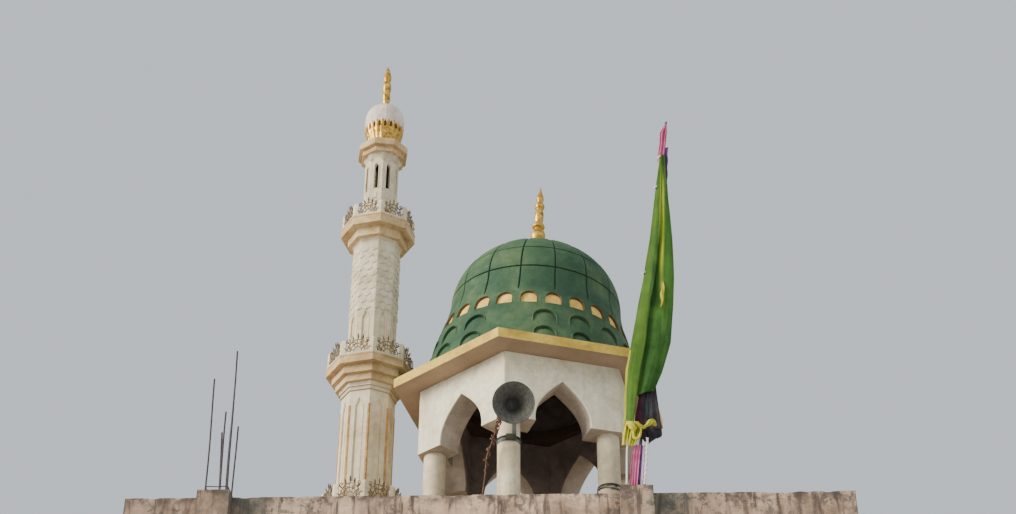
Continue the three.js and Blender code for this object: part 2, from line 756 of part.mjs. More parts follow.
// Loudspeaker lead: out of the driver, down beside the column and into a conduit in the roof
function makeCable() {
  const route = new THREE.CatmullRomCurve3(LEAD_ROUTE.map((point) => new THREE.Vector3(...point)));
  const section = new THREE.Shape();
  section.absarc(0, 0, CABLE_RADIUS, 0, Math.PI * 2);
  const settings = { steps: 40, curveSegments: 4, bevelEnabled: false, extrudePath: route };
  place(model, 'horn_lead', new THREE.ExtrudeGeometry(section, settings), cableSheath());
  const height = CONDUIT_TOP - ROOF - GAP;
  const pipe = new THREE.CylinderGeometry(CONDUIT_RADIUS, CONDUIT_RADIUS, height, 14);
  pipe.rotateX(Math.PI / 2);
  pipe.translate(CONDUIT_X, CONDUIT_Y, ROOF + GAP + height / 2);
  place(model, 'cable_conduit', pipe, greyMetal());
}

// Bars joined by the one tie that shows over the concrete
function makeStarterBars() {
  const bars = BARS.map(({ x, row, height, lean }) => {
    const bar = new THREE.CylinderGeometry(BAR_RADIUS, BAR_RADIUS, height, 8);
    bar.rotateX(Math.PI / 2);
    bar.translate(0, 0, height / 2);
    const position = bar.attributes.position;
    for (let i = 0; i < position.count; i += 1) {
      position.setX(i, position.getX(i) + lean * (position.getZ(i) / height));
    }
    return bar.translate(x, row * BAR_ROW, 0);
  });
  const low = BARS[0].x - 2;
  const high = BARS[BARS.length - 1].x;
  const tieTop = TIE_HEIGHT + 2 * TIE_RADIUS;
  const ties = [
    block(low, high, -BAR_ROW - TIE_RADIUS, -BAR_ROW + TIE_RADIUS, TIE_HEIGHT, tieTop),
    block(low, high, BAR_ROW - TIE_RADIUS, BAR_ROW + TIE_RADIUS, TIE_HEIGHT, tieTop),
    block(low, low + 2 * TIE_RADIUS, -BAR_ROW, BAR_ROW, TIE_HEIGHT, tieTop),
    block(high - 2 * TIE_RADIUS, high, -BAR_ROW, BAR_ROW, TIE_HEIGHT, tieTop),
  ];
  const cage = join([...bars, ...ties]);
  cage.translate(LEFT_PIER_X, FRONT, PARAPET_TOP + GAP);
  place(model, 'starter_bars', cage, rustySteel());
}

// A soft sheet as a flat closed solid: pairs of left and right edges at heights along the pole
function clothSolid(rows, thick) {
  const left = rows.map(([height, low]) => new THREE.Vector2(low, height));
  const right = rows.map(([height, , high]) => new THREE.Vector2(high, height)).reverse();
  const shape = new THREE.Shape([...left, ...right]);
  const geometry = new THREE.ExtrudeGeometry(shape, { depth: thick, bevelEnabled: false });
  geometry.rotateX(Math.PI / 2);
  return geometry;
}

// Pole, flag, dark cloth and foot wrapping share the leaning frame of the pole
function makeFlag() {
  const lean = new THREE.Group();
  const run = POLE_TIP.clone().sub(POLE_FOOT);
  const length = run.length();
  lean.position.copy(POLE_FOOT);
  lean.quaternion.setFromUnitVectors(new THREE.Vector3(0, 0, 1), run.normalize());
  const pole = new THREE.CylinderGeometry(POLE_RADIUS * 0.8, POLE_RADIUS, length, 12);
  pole.rotateX(Math.PI / 2);
  pole.translate(0, 0, length / 2);
  place(lean, 'flagpole', pole, greyMetal());
  const flag = clothSolid(FLAG_ROWS, FLAG_THICK);
  flag.translate(0, -POLE_RADIUS - GAP, 0);
  place(lean, 'flag_cloth', flag, greenCloth());
  const banner = clothSolid(BANNER_ROWS, BANNER_THICK);
  banner.translate(0, BANNER_THICK - POLE_RADIUS + GAP, 0);
  place(lean, 'dark_banner', banner, darkCloth());
  const inner = POLE_RADIUS + GAP;
  const wrap = turned([
    [inner, WRAP_LOW],
    [WRAP_RADIUS * 0.8, WRAP_LOW],
    [WRAP_RADIUS, WRAP_HEIGHT * 0.45],
    [WRAP_RADIUS * 0.7, WRAP_HEIGHT],
    [inner, WRAP_HEIGHT],
    [inner, WRAP_LOW],
  ], 12);
  place(lean, 'pole_wrap', wrap, pinkCloth());
  model.add(lean);
}

makeBlockBelow();
makePiers();
makeParapets();
makeKiosk();
makeMinaret();
makeHorn();
makeHornBracket();
makeCable();
makeStarterBars();
makeFlag();

export default model;
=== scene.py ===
"""Looks of the small mosque building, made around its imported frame. Metres, +Z up, the front faces -Y."""
import math
import random

import bmesh
import bpy
from mathutils import Matrix, Vector, noise


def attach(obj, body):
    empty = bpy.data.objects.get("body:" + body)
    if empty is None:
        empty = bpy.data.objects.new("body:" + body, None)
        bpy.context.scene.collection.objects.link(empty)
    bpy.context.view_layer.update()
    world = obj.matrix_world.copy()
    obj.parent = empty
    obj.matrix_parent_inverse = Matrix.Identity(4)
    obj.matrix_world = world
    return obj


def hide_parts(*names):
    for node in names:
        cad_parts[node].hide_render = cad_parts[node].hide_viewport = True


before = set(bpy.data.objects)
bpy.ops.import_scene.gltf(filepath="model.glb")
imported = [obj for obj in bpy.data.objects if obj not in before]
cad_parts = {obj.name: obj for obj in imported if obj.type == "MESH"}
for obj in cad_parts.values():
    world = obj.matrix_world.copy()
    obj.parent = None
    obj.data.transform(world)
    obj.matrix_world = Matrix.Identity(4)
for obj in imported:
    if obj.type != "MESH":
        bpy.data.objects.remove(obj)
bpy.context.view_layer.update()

# Building block
WIDTH = 6.7
DEPTH = 6.4
FRONT = -DEPTH / 2
WALL = 0.23
FLOOR_0 = 0.15
FLOOR_1 = 3.695
ROOF = 7.24
PARAPET_TOP = 8.14
LEFT_PIER_X = -2.5
RIGHT_PIER_X = 1.35
BLOCK_BEVEL = 0.012
PAINT_BEVEL = 0.004
BRACKET_BEVEL = 0.0008
GAP = 0.0003  # between pieces that would otherwise share a face
SKIN_CELL = 0.03
SIDE_SKIN_CELL = 0.045
SKIN_ROUGH = 0.004
CHIP_REACH = 0.035

# Pointed openings
HEAD_RISE = 0.817
WINDOW_HALF = 0.4
WINDOW_SILL = 0.9
WINDOW_JAMB = 0.85
BAY_MIDDLE_X = (LEFT_PIER_X + RIGHT_PIER_X) / 2
PAIR_OFFSET = 0.85
RIGHT_BAY_X = 2.425
SIDE_WINDOW_Y = 1.5
GRILLE_BARS = 5
GRILLE_BAR_RADIUS = 0.008
GRILLE_FRAME = 0.035
GRILLE_DEPTH = 0.05
GRILLE_RAILS = (0.28, 0.8)

# Kiosk
KIOSK_X = 0.378
KIOSK_Y = -1.707
KIOSK = (KIOSK_X, KIOSK_Y)
KIOSK_AZIMUTH = -11.6
KIOSK_RADIUS = 1.204
COLUMN_CIRCLE = 1.025
COLUMN_RADIUS = 0.113
COLUMN_ROWS = 48
SPRING = 9.13
PANEL_HEIGHT = 0.73
PANEL_DEPTH = 0.28
PANEL_CHAMFER = 0.012
ARCH_HALF = 0.281
ARCH_RISE = 0.474
ARCH_FLARE = 0.006
EAVE_TOP = 9.964

# Dome: heights are counted from the top of the eave
DOME_LEAN = 0.055
DOME_TILT = 0.055
TILT_RISE = 0.2
FINIAL_SHIFT = -0.025
CAP_RADIUS = 0.927
CAP_CENTRE = 1.06
CAP_HEIGHT = 0.8
CAP_FOOT = 0.77
CAP_SPREAD_TOP = 1.70
CAP_ROW = 0.04
CAP_CROWN = [1.73, 1.76, 1.785, 1.81, 1.83, 1.845, 1.855, CAP_CENTRE + CAP_HEIGHT]
SHELL_INNER = 0.837
SHELL_HEIGHT = 0.71
SKIRT = [(1.199, 0.0), (1.13, 0.18), (1.079, 0.37), (1.03, 0.6), (0.968, 0.8), (0.931, 0.98)]
SKIRT_FOOT_TOP = 0.05
NICHE_BAND = (0.49, CAP_FOOT)
NICHE_COUNT = 25
NICHE_AZIMUTH = -2.1
NICHE_HALF = 0.084
NICHE_LOW = 0.562
NICHE_HIGH = 0.726
NICHE_HEAD = 0.075
NICHE_MIDDLE = 0.66
NICHE_DEPTH = 0.024
NICHE_LIP = 0.003
CELL_COUNTS = (8, 4, 16)  # points along an arch's foot, one side and its head
PETAL_COUNT = 18
PETAL_AZIMUTH = 7.6
MISSING_PETAL = 17
PETAL_DEPTH = 0.030
PETAL_LIP = 0.010
# Band of the petals, then their arch's half, foot, spring and rise
UPPER_PETALS = ((0.26, 0.49), (0.122, 0.285, 0.365, 0.10))
LOWER_PETALS = ((SKIRT_FOOT_TOP, 0.26), (0.112, 0.075, 0.145, 0.087))
GROOVE_COUNT = 16
GROOVE_AZIMUTH = -9.0
GROOVE_HEIGHTS = (1.093, 1.385)
GROOVE_FOOT = CAP_FOOT + 0.012
GROOVE_TOP = 1.77
GROOVE_DEPTH = 0.017
GROOVE_FLAT = 0.0035
GROOVE_SLOPE = 0.006
GROOVE_ROWS = (0.0, 0.0035, 0.0065, 0.0095)
GROOVE_STEPS = (-0.62, -0.36, -0.21, 0.0, 0.21, 0.36, 0.62, 3.0, 6.0, 9.0, 12.0, 15.0, 18.5)  # degrees

# Minaret
EIGHTH = 45.0
MINARET_X = -1.356
MINARET_Y = -1.619
MINARET = (MINARET_X, MINARET_Y)
MINARET_AXIS = (MINARET_X, MINARET_Y, 0.0)
MINARET_AZIMUTH = 9.3
MINARET_CORNERS = [MINARET_AZIMUTH + EIGHTH * k for k in range(8)]
MINARET_FACES = [MINARET_AZIMUTH + EIGHTH * (k + 0.5) for k in range(8)]
CROWN_AZIMUTH = 32.5
BASE_TOP = 8.69
BASE_RADIUS = 0.43
LOWER_RADIUS = 0.287
LOWER_TOP = 10.1
LOWER_NECK = 0.325
LOWER_DECK = 10.37
LOWER_DECK_RADIUS = 0.471
MIDDLE_RADIUS = 0.261
MIDDLE_TOP = 11.99
UPPER_DECK = 12.22
UPPER_DECK_RADIUS = 0.42
LANTERN_RADIUS = 0.195
LANTERN_TOP = 13.24
NEWEL_RADIUS = 0.09
CROWN_TOP = 13.4
CROWN_RADIUS = 0.302
BALL_TOP = 14.07
STRIP_FOOT = 8.70
STRIP_TOP = LOWER_TOP - 0.26
STRIP_WING = 0.016
STRIP_PROUD = 0.004
LANCETS = {  # shaft's radius, foot, tip and half the width
    "minaret_lower_lancets": (LOWER_RADIUS, 8.95, LOWER_TOP - 0.165, 0.046),
    "minaret_middle_lancets": (MIDDLE_RADIUS, 10.61, 11.035, 0.042),
}
RAILINGS = {  # radius, foot and height
    "minaret_base_railing": (BASE_RADIUS - 0.005, BASE_TOP + GAP, 0.2),
    "minaret_lower_railing": (LOWER_DECK_RADIUS - 0.008, LOWER_DECK + GAP, 0.19),
    "minaret_upper_railing": (UPPER_DECK_RADIUS - 0.008, UPPER_DECK + GAP, 0.185),
}
POST_WING = 0.046
FRET_WIRE = 0.0056
FRET_ARCS = (0.34, 0.62, 0.9)
FRET_RIBS = (28, 60, 90, 120, 152)
FRET_LEAVES = [  # direction, reach and how far the tip leans out
    (12, 1.16, 0.030), (38, 1.20, 0.024), (66, 1.22, 0.016), (90, 1.3, 0.010),
    (114, 1.22, 0.016), (142, 1.20, 0.024), (168, 1.16, 0.030),
]
SCALE_ROWS = 10
SCALE_FOOT = 11.125
SCALE_PITCH = 0.0855
SCALE_HALF_SHARE = 0.262
SCALE_LENGTH = 0.128
SCALE_LIFT = 0.012
SLIT_HALF = 0.031
SLIT_FOOT = UPPER_DECK + 0.508
SLIT_JAMB = 0.33
SLIT_HEAD = 0.06
BALL_CELLS = 20
BALL_CELL_COLUMNS = 12
# Radius and height of the bulb, from its foot up
BALL_OUTLINE = [
    (0.175, CROWN_TOP), (0.172, CROWN_TOP + 0.06), (0.186, CROWN_TOP + 0.14),
    (0.207, 13.62), (0.222, 13.69), (0.230, 13.77),
    (0.231, 13.85), (0.221, 13.925), (0.190, 13.99), (0.130, 14.038), (0.060, 14.062), (0.026, 14.068),
]
LEAF_FOOT = CROWN_TOP + 0.05
LEAF_TIP = 13.735
BALL_NICHE_LOW = 13.645
BALL_NICHE_HIGH = 13.725

# Finials: height and radius from the foot up
DOME_FINIAL = [
    (GAP, 0.150), (0.016, 0.150), (0.028, 0.138), (0.045, 0.092), (0.064, 0.058), (0.090, 0.047),
    (0.13, 0.048), (0.165, 0.056), (0.19, 0.070), (0.225, 0.081), (0.258, 0.083), (0.30, 0.075),
    (0.335, 0.056), (0.352, 0.050), (0.365, 0.066), (0.385, 0.073), (0.405, 0.066), (0.42, 0.052),
    (0.445, 0.047), (0.475, 0.050), (0.52, 0.053), (0.57, 0.050), (0.61, 0.043), (0.626, 0.040),
    (0.645, 0.053), (0.67, 0.056), (0.695, 0.051), (0.716, 0.036), (0.73, 0.035), (0.765, 0.043),
    (0.80, 0.040), (0.85, 0.025), (0.90, 0.012), (0.9395, 0.003),
]
MINARET_FINIAL = [
    (GAP, 0.030), (0.02, 0.026), (0.05, 0.030), (0.09, 0.040), (0.14, 0.047), (0.19, 0.049),
    (0.225, 0.045), (0.24, 0.042), (0.26, 0.046), (0.30, 0.052), (0.35, 0.052), (0.39, 0.045),
    (0.41, 0.040), (0.43, 0.043), (0.47, 0.049), (0.52, 0.045), (0.57, 0.034), (0.62, 0.019),
    (0.6695, 0.003),
]

# Horn speaker, its lead and the conduit that the lead goes into
HORN_MOUTH = (0.232, -3.225, 9.08)
HORN_TILT = 22.0
HORN_TURN = 6.0
HORN_RADIUS = 0.2
HORN_WALL = 0.004
HORN_SIDES = 72
RIM_RADIUS = 0.0065
BELL_THROAT = 0.04
BELL_FLARE = 0.16
BELL_DECAY = 0.095
BELL_START = 0.012
BELL_LENGTH = 0.206
BELL_STEPS = 26
BELL_FLOOR = [(0.0, 0.206), (0.022, 0.207), (0.03, 0.214)]  # radius and depth
DRIVER = [
    (0.047, 0.224), (0.052, 0.232), (0.060, 0.236), (0.061, 0.25), (0.057, 0.254), (0.057, 0.268),
    (0.061, 0.272), (0.061, 0.3), (0.057, 0.304), (0.057, 0.318), (0.052, 0.328), (0.03, 0.33),
    (0.0, 0.33),
]
LEAD_DIAMETER = 0.014
CONDUIT_X = -0.15
CONDUIT_Y = -2.76
LEAD_ROUTE = [
    (0.143, -2.960, 9.188),
    (0.126, -2.960, 9.175),
    (0.100, -2.940, 9.110),
    (0.066, -2.895, 9.000),
    (0.014, -2.870, 8.840),
    (-0.032, -2.850, 8.700),
    (-0.052, -2.830, 8.480),
    (-0.110, -2.795, 8.000),
    (-0.145, -2.766, 7.650),
    (CONDUIT_X, CONDUIT_Y, 7.510),
    (CONDUIT_X, CONDUIT_Y, 7.460),
    (CONDUIT_X, CONDUIT_Y, 7.4206),
]
LASHING_STEPS = 34
LASHINGS = {  # column, height, band, turns, wire's radius, raggedness
    "near_column_lashing": (0, 8.935, 0.030, 2.6, 0.0055, 0.004),
    "right_column_lashing": (1, 8.56, 0.070, 4.6, 0.0032, 0.022),
}

# Leaning pole. The cloths on it are given in the pole's own frame: x to the right, y away from the front
# and height along the pole; rows of a cloth are height, left edge and right edge.
POLE_FOOT = Vector((1.357, -3.24, 8.1423))
POLE_TIP = Vector((1.864, -3.125, 12.55))
POLE_RADIUS = 0.017
POLE_ROWS = 60
POLE_TURN = Vector((0.0, 0.0, 1.0)).rotation_difference(POLE_TIP - POLE_FOOT)
POLE_LENGTH = (POLE_TIP - POLE_FOOT).length
FLAG_TOP = 3.94
BAND_FOOT = 0.60
FOLD_FOOT = 1.0
FLAG_ROWS = [
    (0.48, -0.160, 0.000),
    (0.715, -0.165, 0.030),
    (0.98, -0.180, 0.076),
    (1.25, -0.191, 0.154),
    (1.60, -0.167, 0.216),
    (2.00, -0.137, 0.217),
    (2.36, -0.103, 0.206),
    (2.85, -0.075, 0.163),
    (3.35, -0.060, 0.092),
    (FLAG_TOP, -0.040, 0.020),
]
FLAG_GRID = (150, 100)
FLAG_THICKNESS = 0.0012
PLEAT_ROWS = 60
CLOTH_THICKNESS = 0.0014
TAIL_ROWS = [(0.405, -0.172, -0.05), (0.5, -0.175, -0.03), (0.6, -0.17, -0.02), (0.66, -0.16, -0.03)]
BANNER_ROWS = [(0.47, 0.05, 0.190), (0.60, -0.05, 0.190), (0.715, -0.074, 0.172), (1.02, -0.047, 0.115),
               (1.12, -0.03, 0.10)]
BANNER_LEAN = (-0.02, 0.09)
PINK_ROWS = [(0.015, -0.068, 0.004), (0.2, -0.074, 0.005), (0.44, -0.064, 0.005)]
PURPLE_ROWS = [(0.015, 0.002, 0.025), (0.44, 0.002, 0.024)]
LILAC_ROWS = [(0.015, 0.030, 0.054), (0.44, 0.028, 0.052)]
TIP_ROWS = [(3.86, -0.062, 0.012), (4.1, -0.050, 0.014), (4.26, -0.056, 0.016), (4.38, -0.006, 0.014)]
CRUMPLE = [(0.094, -0.080, 1.98), (0.102, -0.086, 2.06), (0.094, -0.088, 2.14), (0.103, -0.086, 2.21),
           (0.097, -0.078, 2.29)]
KNOT_HEIGHTS = (2.39, 3.49, 3.90)
KNOT_SPOTS = [(-0.012, -0.052, -0.012), (-0.004, -0.058, 0.0), (0.006, -0.060, 0.010), (0.012, -0.056, 0.016)]
SASH = [  # places, then radius at the ends, swell, lobes and twist
    ([(-0.085, -0.112, 0.612), (-0.055, -0.120, 0.628), (-0.020, -0.114, 0.605), (0.015, -0.106, 0.602),
      (0.045, -0.100, 0.632)], 0.010, 0.008, 5, 0.5),
    ([(0.040, -0.094, 0.625), (0.062, -0.104, 0.645), (0.085, -0.106, 0.668), (0.108, -0.096, 0.660),
      (0.128, -0.080, 0.640)], 0.011, 0.013, 5, 0.3),
    ([(-0.145, -0.090, 0.640), (-0.108, -0.118, 0.612), (-0.075, -0.122, 0.578), (-0.050, -0.116, 0.560)],
     0.014, 0.013, 6, 0.35),
    ([(-0.012, -0.108, 0.596), (-0.008, -0.114, 0.540), (-0.020, -0.116, 0.486), (-0.048, -0.114, 0.470),
      (-0.072, -0.114, 0.496), (-0.074, -0.114, 0.545), (-0.052, -0.112, 0.575)], 0.0085, 0.003, 4, 0.4),
]
PEG = [(0.120, -0.034, 0.640), (0.150, -0.036, 0.641), (0.162, -0.037, 0.642), (0.176, -0.038, 0.643),
       (0.181, -0.038, 0.643)]
PEG_RADII = [0.009, 0.009, 0.014, 0.012, 0.004]
PLAIN_ROPE = [(-0.120, -0.078, 0.480), (-0.119, -0.080, 0.35), (-0.109, -0.080, 0.2), (-0.099, -0.074, 0.06),
              (-0.0965, -0.072, 0.012)]
TWISTED_ROPE = [(0.058, -0.094, 0.500), (0.062, -0.092, 0.35), (0.065, -0.086, 0.2), (0.066, -0.080, 0.06),
                (0.066, -0.078, 0.020)]
ROPE_DIAMETER = 0.018
STRAND_DIAMETER = 0.0136
STRAND_OFFSET = 0.0075
STRAND_TURN = 0.55

# Starter bars on the left pier: foot x, row, height, lean
BAR_ROW = 0.108
BAR_RADIUS = 0.009
BAR_WAIST = 0.84
RIB_LENGTH = 0.0055
RIB_GAP = 0.004
TIE_RADIUS = 0.005
TIE_HEIGHT = 0.05
BARS = [
    (-0.085, -1, 1.190, -0.036),
    (-0.005, 1, 0.725, -0.035),
    (0.045, -1, 0.832, -0.020),
    (0.060, 1, 1.627, -0.044),
    (0.118, -1, 1.016, -0.040),
    (0.118, 1, 0.789, -0.016),
]

# Camera, floor and light
CAMERA_PLACE = Vector((0.569, -16.469, 1.6))
CAMERA_YAW = 1.7
CAMERA_PITCH = 34.64
CAMERA_ROLL = 0.14
SENSOR = 36.0
FOCAL_PIXELS = 1600
PHOTO_WIDTH = 1016
STUDIO_TONE = (0.88, 0.94, 1.0)
STUDIO_STRENGTH = 0.78
SUNS = {  # azimuth, elevation, strength, spread and colour
    "key_light": (-68.0, 22.0, 6.2, 35.0, (1.0, 0.94, 0.83)),
    "fill_light": (35.0, 30.0, 0.5, 60.0, (0.95, 0.97, 1.0)),
}
FLOOR_LINES = (-40.0, -10.0, 10.0, 40.0)
FLOOR_Z = -0.002

# Tones of each material, from dark to light
TONES = {
    "bare_plaster": ((0.28, 0.185, 0.12), (0.47, 0.32, 0.215), (0.64, 0.46, 0.32)),
    "painted_plaster": ((0.57, 0.47, 0.30), (0.69, 0.58, 0.39), (0.76, 0.66, 0.47)),
    "kiosk_lime": ((0.67, 0.59, 0.41), (0.79, 0.71, 0.51), (0.85, 0.78, 0.59)),
    # Kiosk's inner faces: painted shade
    "inner_shade_plaster": ((0.13, 0.10, 0.085), (0.19, 0.15, 0.125), (0.25, 0.20, 0.17)),
    # Arch tunnels: painted shade
    "arch_tunnel_shade": ((0.38, 0.31, 0.24), (0.48, 0.40, 0.31), (0.56, 0.48, 0.38)),
    "cornice_paint": ((0.43, 0.28, 0.13), (0.56, 0.38, 0.18), (0.65, 0.47, 0.25)),
    "scale_paint": ((0.52, 0.43, 0.28), (0.63, 0.54, 0.37), (0.70, 0.61, 0.44)),
    "trim_paint": ((0.34, 0.18, 0.06), (0.46, 0.26, 0.09), (0.55, 0.34, 0.14)),
    # Lantern's middle post: painted shade
    "newel_shade": ((0.014, 0.010, 0.008), (0.024, 0.018, 0.014), (0.036, 0.028, 0.022)),
    "yellow_paint": ((0.48, 0.30, 0.035), (0.64, 0.43, 0.060), (0.72, 0.51, 0.10)),
    "green_paint": ((0.023, 0.064, 0.031), (0.043, 0.095, 0.042), (0.080, 0.132, 0.056)),
    "groove_shadow_paint": ((0.010, 0.028, 0.026), (0.022, 0.050, 0.045)),
    "niche_paint": ((0.62, 0.36, 0.05), (0.76, 0.48, 0.09), (0.84, 0.60, 0.17)),
    # Niche walls and the bulb's gaps: painted shade
    "niche_shade_paint": ((0.06, 0.035, 0.015), (0.16, 0.09, 0.035)),
    "pearl_paint": ((0.60, 0.47, 0.38), (0.72, 0.58, 0.48), (0.79, 0.67, 0.57)),
    "gold_paint": ((0.20, 0.09, 0.015), (0.50, 0.29, 0.045), (0.74, 0.49, 0.11)),
    "grey_metal": ((0.050, 0.056, 0.045), (0.100, 0.108, 0.088), (0.165, 0.170, 0.142)),
    "rusty_steel": ((0.035, 0.034, 0.040), (0.085, 0.070, 0.066)),
    "openwork_iron": ((0.14, 0.10, 0.060), (0.36, 0.27, 0.155)),
    # Inside of the horn's bell: painted shade
    "horn_inside_shade": ((0.060, 0.056, 0.048), (0.13, 0.12, 0.10)),
    "cable_sheath": ((0.070, 0.030, 0.016), (0.17, 0.075, 0.038)),
    "black_tie": ((0.012, 0.012, 0.014), (0.04, 0.038, 0.04)),
    "pale_floor": ((0.58, 0.58, 0.57), (0.62, 0.62, 0.61)),
    # Tan of the eave's underside: painted shade
    "eave_underside_shade": ((0.30, 0.20, 0.12), (0.42, 0.29, 0.18)),
    # Lit band of the flag: painted light
    "flag_lit_band": ((0.038, 0.100, 0.007), (0.070, 0.145, 0.012)),
    "banner_edge": ((0.035, 0.006, 0.014), (0.12, 0.020, 0.05)),
    "green_cloth": ((0.017, 0.062, 0.008), (0.034, 0.103, 0.013), (0.058, 0.146, 0.020)),
    "yellow_cloth": ((0.28, 0.26, 0.018), (0.42, 0.39, 0.030), (0.55, 0.51, 0.060)),
    "dark_cloth": ((0.014, 0.011, 0.014), (0.034, 0.029, 0.034), (0.065, 0.058, 0.064)),
    "pink_cloth": ((0.32, 0.045, 0.12), (0.52, 0.10, 0.22), (0.66, 0.20, 0.33)),
    "purple_cloth": ((0.05, 0.01, 0.07), (0.11, 0.025, 0.14), (0.18, 0.05, 0.22)),
    "lilac_cloth": ((0.38, 0.24, 0.44), (0.52, 0.38, 0.56), (0.66, 0.54, 0.68)),
    "white_cloth": ((0.50, 0.48, 0.46), (0.66, 0.64, 0.62), (0.80, 0.79, 0.77)),
    "white_rope": ((0.46, 0.44, 0.42), (0.64, 0.62, 0.58), (0.76, 0.74, 0.71)),
}

# Marks on the materials
# Tones along the parapet: a darker one at its left end and round the right pier, which holds stains and the
# piers' cast shadows painted in as shade; the full tone of its middle; and a plain one elsewhere
STAIN_AND_PIER_SHADE = (0.70, 0.70, 0.70)
PLAIN_WALL = (0.85, 0.85, 0.85)
PARAPET_MIDDLE = (1.0, 1.0, 1.0)
MOTTLE = (0.085, 0.066, 0.056)
RAIN_STREAK = (0.075, 0.048, 0.038)
BROKEN_EDGE = (0.060, 0.042, 0.034)
# Greenish beside the piers: partly wet staining, partly the piers' painted shadows
DAMP_AND_PIER_SHADE = (0.055, 0.075, 0.06)
SPLASH = (0.17, 0.12, 0.085)
CRACK = (0.07, 0.045, 0.035)
PLASTER_DUST = (0.30, 0.25, 0.20)
PAINT_DRIP = (0.38, 0.26, 0.15)
PAINT_SPECK = (0.25, 0.17, 0.10)
# Ochre on faces that look down: painted shade
PAINTED_UNDERSIDE_SHADE = (0.42, 0.29, 0.16)
PAINT_DUST = (0.33, 0.27, 0.20)
YELLOW_WORN = (0.34, 0.20, 0.09)
YELLOW_DUST = (0.26, 0.21, 0.14)
# Dark on the eave's inner part under the dome: painted shade
EAVE_INNER_SHADE = (0.06, 0.038, 0.026)
GREEN_BRUSH = (0.020, 0.070, 0.036)
GREEN_BLEACHED = (0.16, 0.22, 0.13)
RUST = (0.16, 0.07, 0.03)
MATT = 0.9
STRIPES = {  # x at the foot and at the top, heights, half width, colour and strength
    "green_cloth": [
        ((1.7505, 1.8305), (10.15, 11.45), 0.085, (0.068, 0.170, 0.018), 0.6),
        # Painted highlight: the lime stripe along a lit ridge of the folds
        ((1.7025, 1.776), (10.556, 11.70), 0.034, (0.40, 0.46, 0.030), 0.9),
        ((1.7005, 1.7005), (10.15, 10.40), 0.019, (0.55, 0.36, 0.04), 0.75),
        ((1.632, 1.632), (10.13, 10.62), 0.028, (0.014, 0.045, 0.008), 0.8),
    ],
    "dark_cloth": [((1.484, 1.484), (8.907, 9.067), 0.014, (0.02, 0.10, 0.10), 0.8)],
}


# Camera, floor and light
def make_camera():
    data = bpy.data.cameras.new("camera")
    data.sensor_width = SENSOR
    data.lens = SENSOR * FOCAL_PIXELS / PHOTO_WIDTH
    camera = bpy.data.objects.new("camera", data)
    turn = Matrix.Rotation(math.radians(CAMERA_YAW), 4, "Z")
    turn = turn @ Matrix.Rotation(math.radians(90 + CAMERA_PITCH), 4, "X")
    turn = turn @ Matrix.Rotation(math.radians(CAMERA_ROLL), 4, "Z")
    camera.matrix_world = Matrix.Translation(CAMERA_PLACE) @ turn
    bpy.context.collection.objects.link(camera)
    bpy.context.scene.camera = camera


def polar(radius, azimuth, z=0.0, centre=(0.0, 0.0)):
    angle = math.radians(azimuth)
    return Vector((centre[0] + radius * math.sin(angle), centre[1] - radius * math.cos(angle), z))


def make_sun(name, azimuth, elevation, strength, spread, color):
    data = bpy.data.lights.new(name, "SUN")
    data.energy = strength
    data.angle = math.radians(spread)
    data.color = color
    lamp = bpy.data.objects.new(name, data)
    towards = polar(math.cos(math.radians(elevation)), azimuth, math.sin(math.radians(elevation)))
    lamp.rotation_euler = towards.to_track_quat("Z", "Y").to_euler()
    bpy.context.collection.objects.link(lamp)


def make_world():
    """One plain pale tone all round, as in a studio."""
    world = bpy.data.worlds.new("studio")
    world.use_nodes = True
    backdrop = world.node_tree.nodes["Background"]
    backdrop.inputs[0].default_value = rgba(STUDIO_TONE)
    backdrop.inputs[1].default_value = STUDIO_STRENGTH
    bpy.context.scene.world = world


# Node helpers for the materials
def new_material(name):
    material = bpy.data.materials.new(name)
    material.use_nodes = True
    tree = material.node_tree
    return material, tree, tree.nodes["Principled BSDF"]


def add(tree, kind, inputs, **settings):
    node = tree.nodes.new(kind)
    for key, value in settings.items():
        setattr(node, key, value)
    for key, value in inputs.items():
        if isinstance(value, bpy.types.NodeSocket):
            tree.links.new(value, node.inputs[key])
        else:
            node.inputs[key].default_value = value
    return node


def rgba(color):
    return (color[0], color[1], color[2], 1.0)


def place_of(tree, scale=(1.0, 1.0, 1.0)):
    coords = tree.nodes.new("ShaderNodeTexCoord")
    return add(tree, "ShaderNodeMapping", {0: coords.outputs["Object"], "Scale": scale}).outputs[0]


def speckle(tree, scale, detail=6.0, rough=0.6, stretch=(1.0, 1.0, 1.0), warp=0.0):
    where = place_of(tree, stretch)
    inputs = {"Vector": where, "Scale": scale, "Detail": detail, "Roughness": rough, "Distortion": warp}
    return add(tree, "ShaderNodeTexNoise", inputs).outputs[0]


def ramp(tree, value, stops):
    node = add(tree, "ShaderNodeValToRGB", {0: value})
    elements = node.color_ramp.elements
    while len(elements) < len(stops):
        elements.new(0.5)
    for element, (position, color) in zip(elements, stops):
        element.position = position
        element.color = rgba(color)
    return node.outputs[0]


def map_range(tree, value, low, high, start, end, **settings):
    inputs = {"Value": value, "From Min": low, "From Max": high, "To Min": start, "To Max": end}
    return add(tree, "ShaderNodeMapRange", inputs, **settings).outputs[0]


def between(tree, value, low, high, start=0.0, end=1.0):
    return map_range(tree, value, low, high, start, end, interpolation_type="SMOOTHSTEP")


def slide(tree, value, low, high, start, end):
    """A straight-line map of the value, carried on past both ends."""
    return map_range(tree, value, low, high, start, end, clamp=False)


def blend(tree, share, first, second, mode="MIX"):
    inputs = {0: share, 6: first, 7: second}
    for key in (6, 7):
        if isinstance(inputs[key], tuple):
            inputs[key] = rgba(inputs[key])
    return add(tree, "ShaderNodeMix", inputs, data_type="RGBA", blend_type=mode).outputs[2]


def math_of(tree, operation, *values):
    return add(tree, "ShaderNodeMath", dict(enumerate(values)), operation=operation).outputs[0]


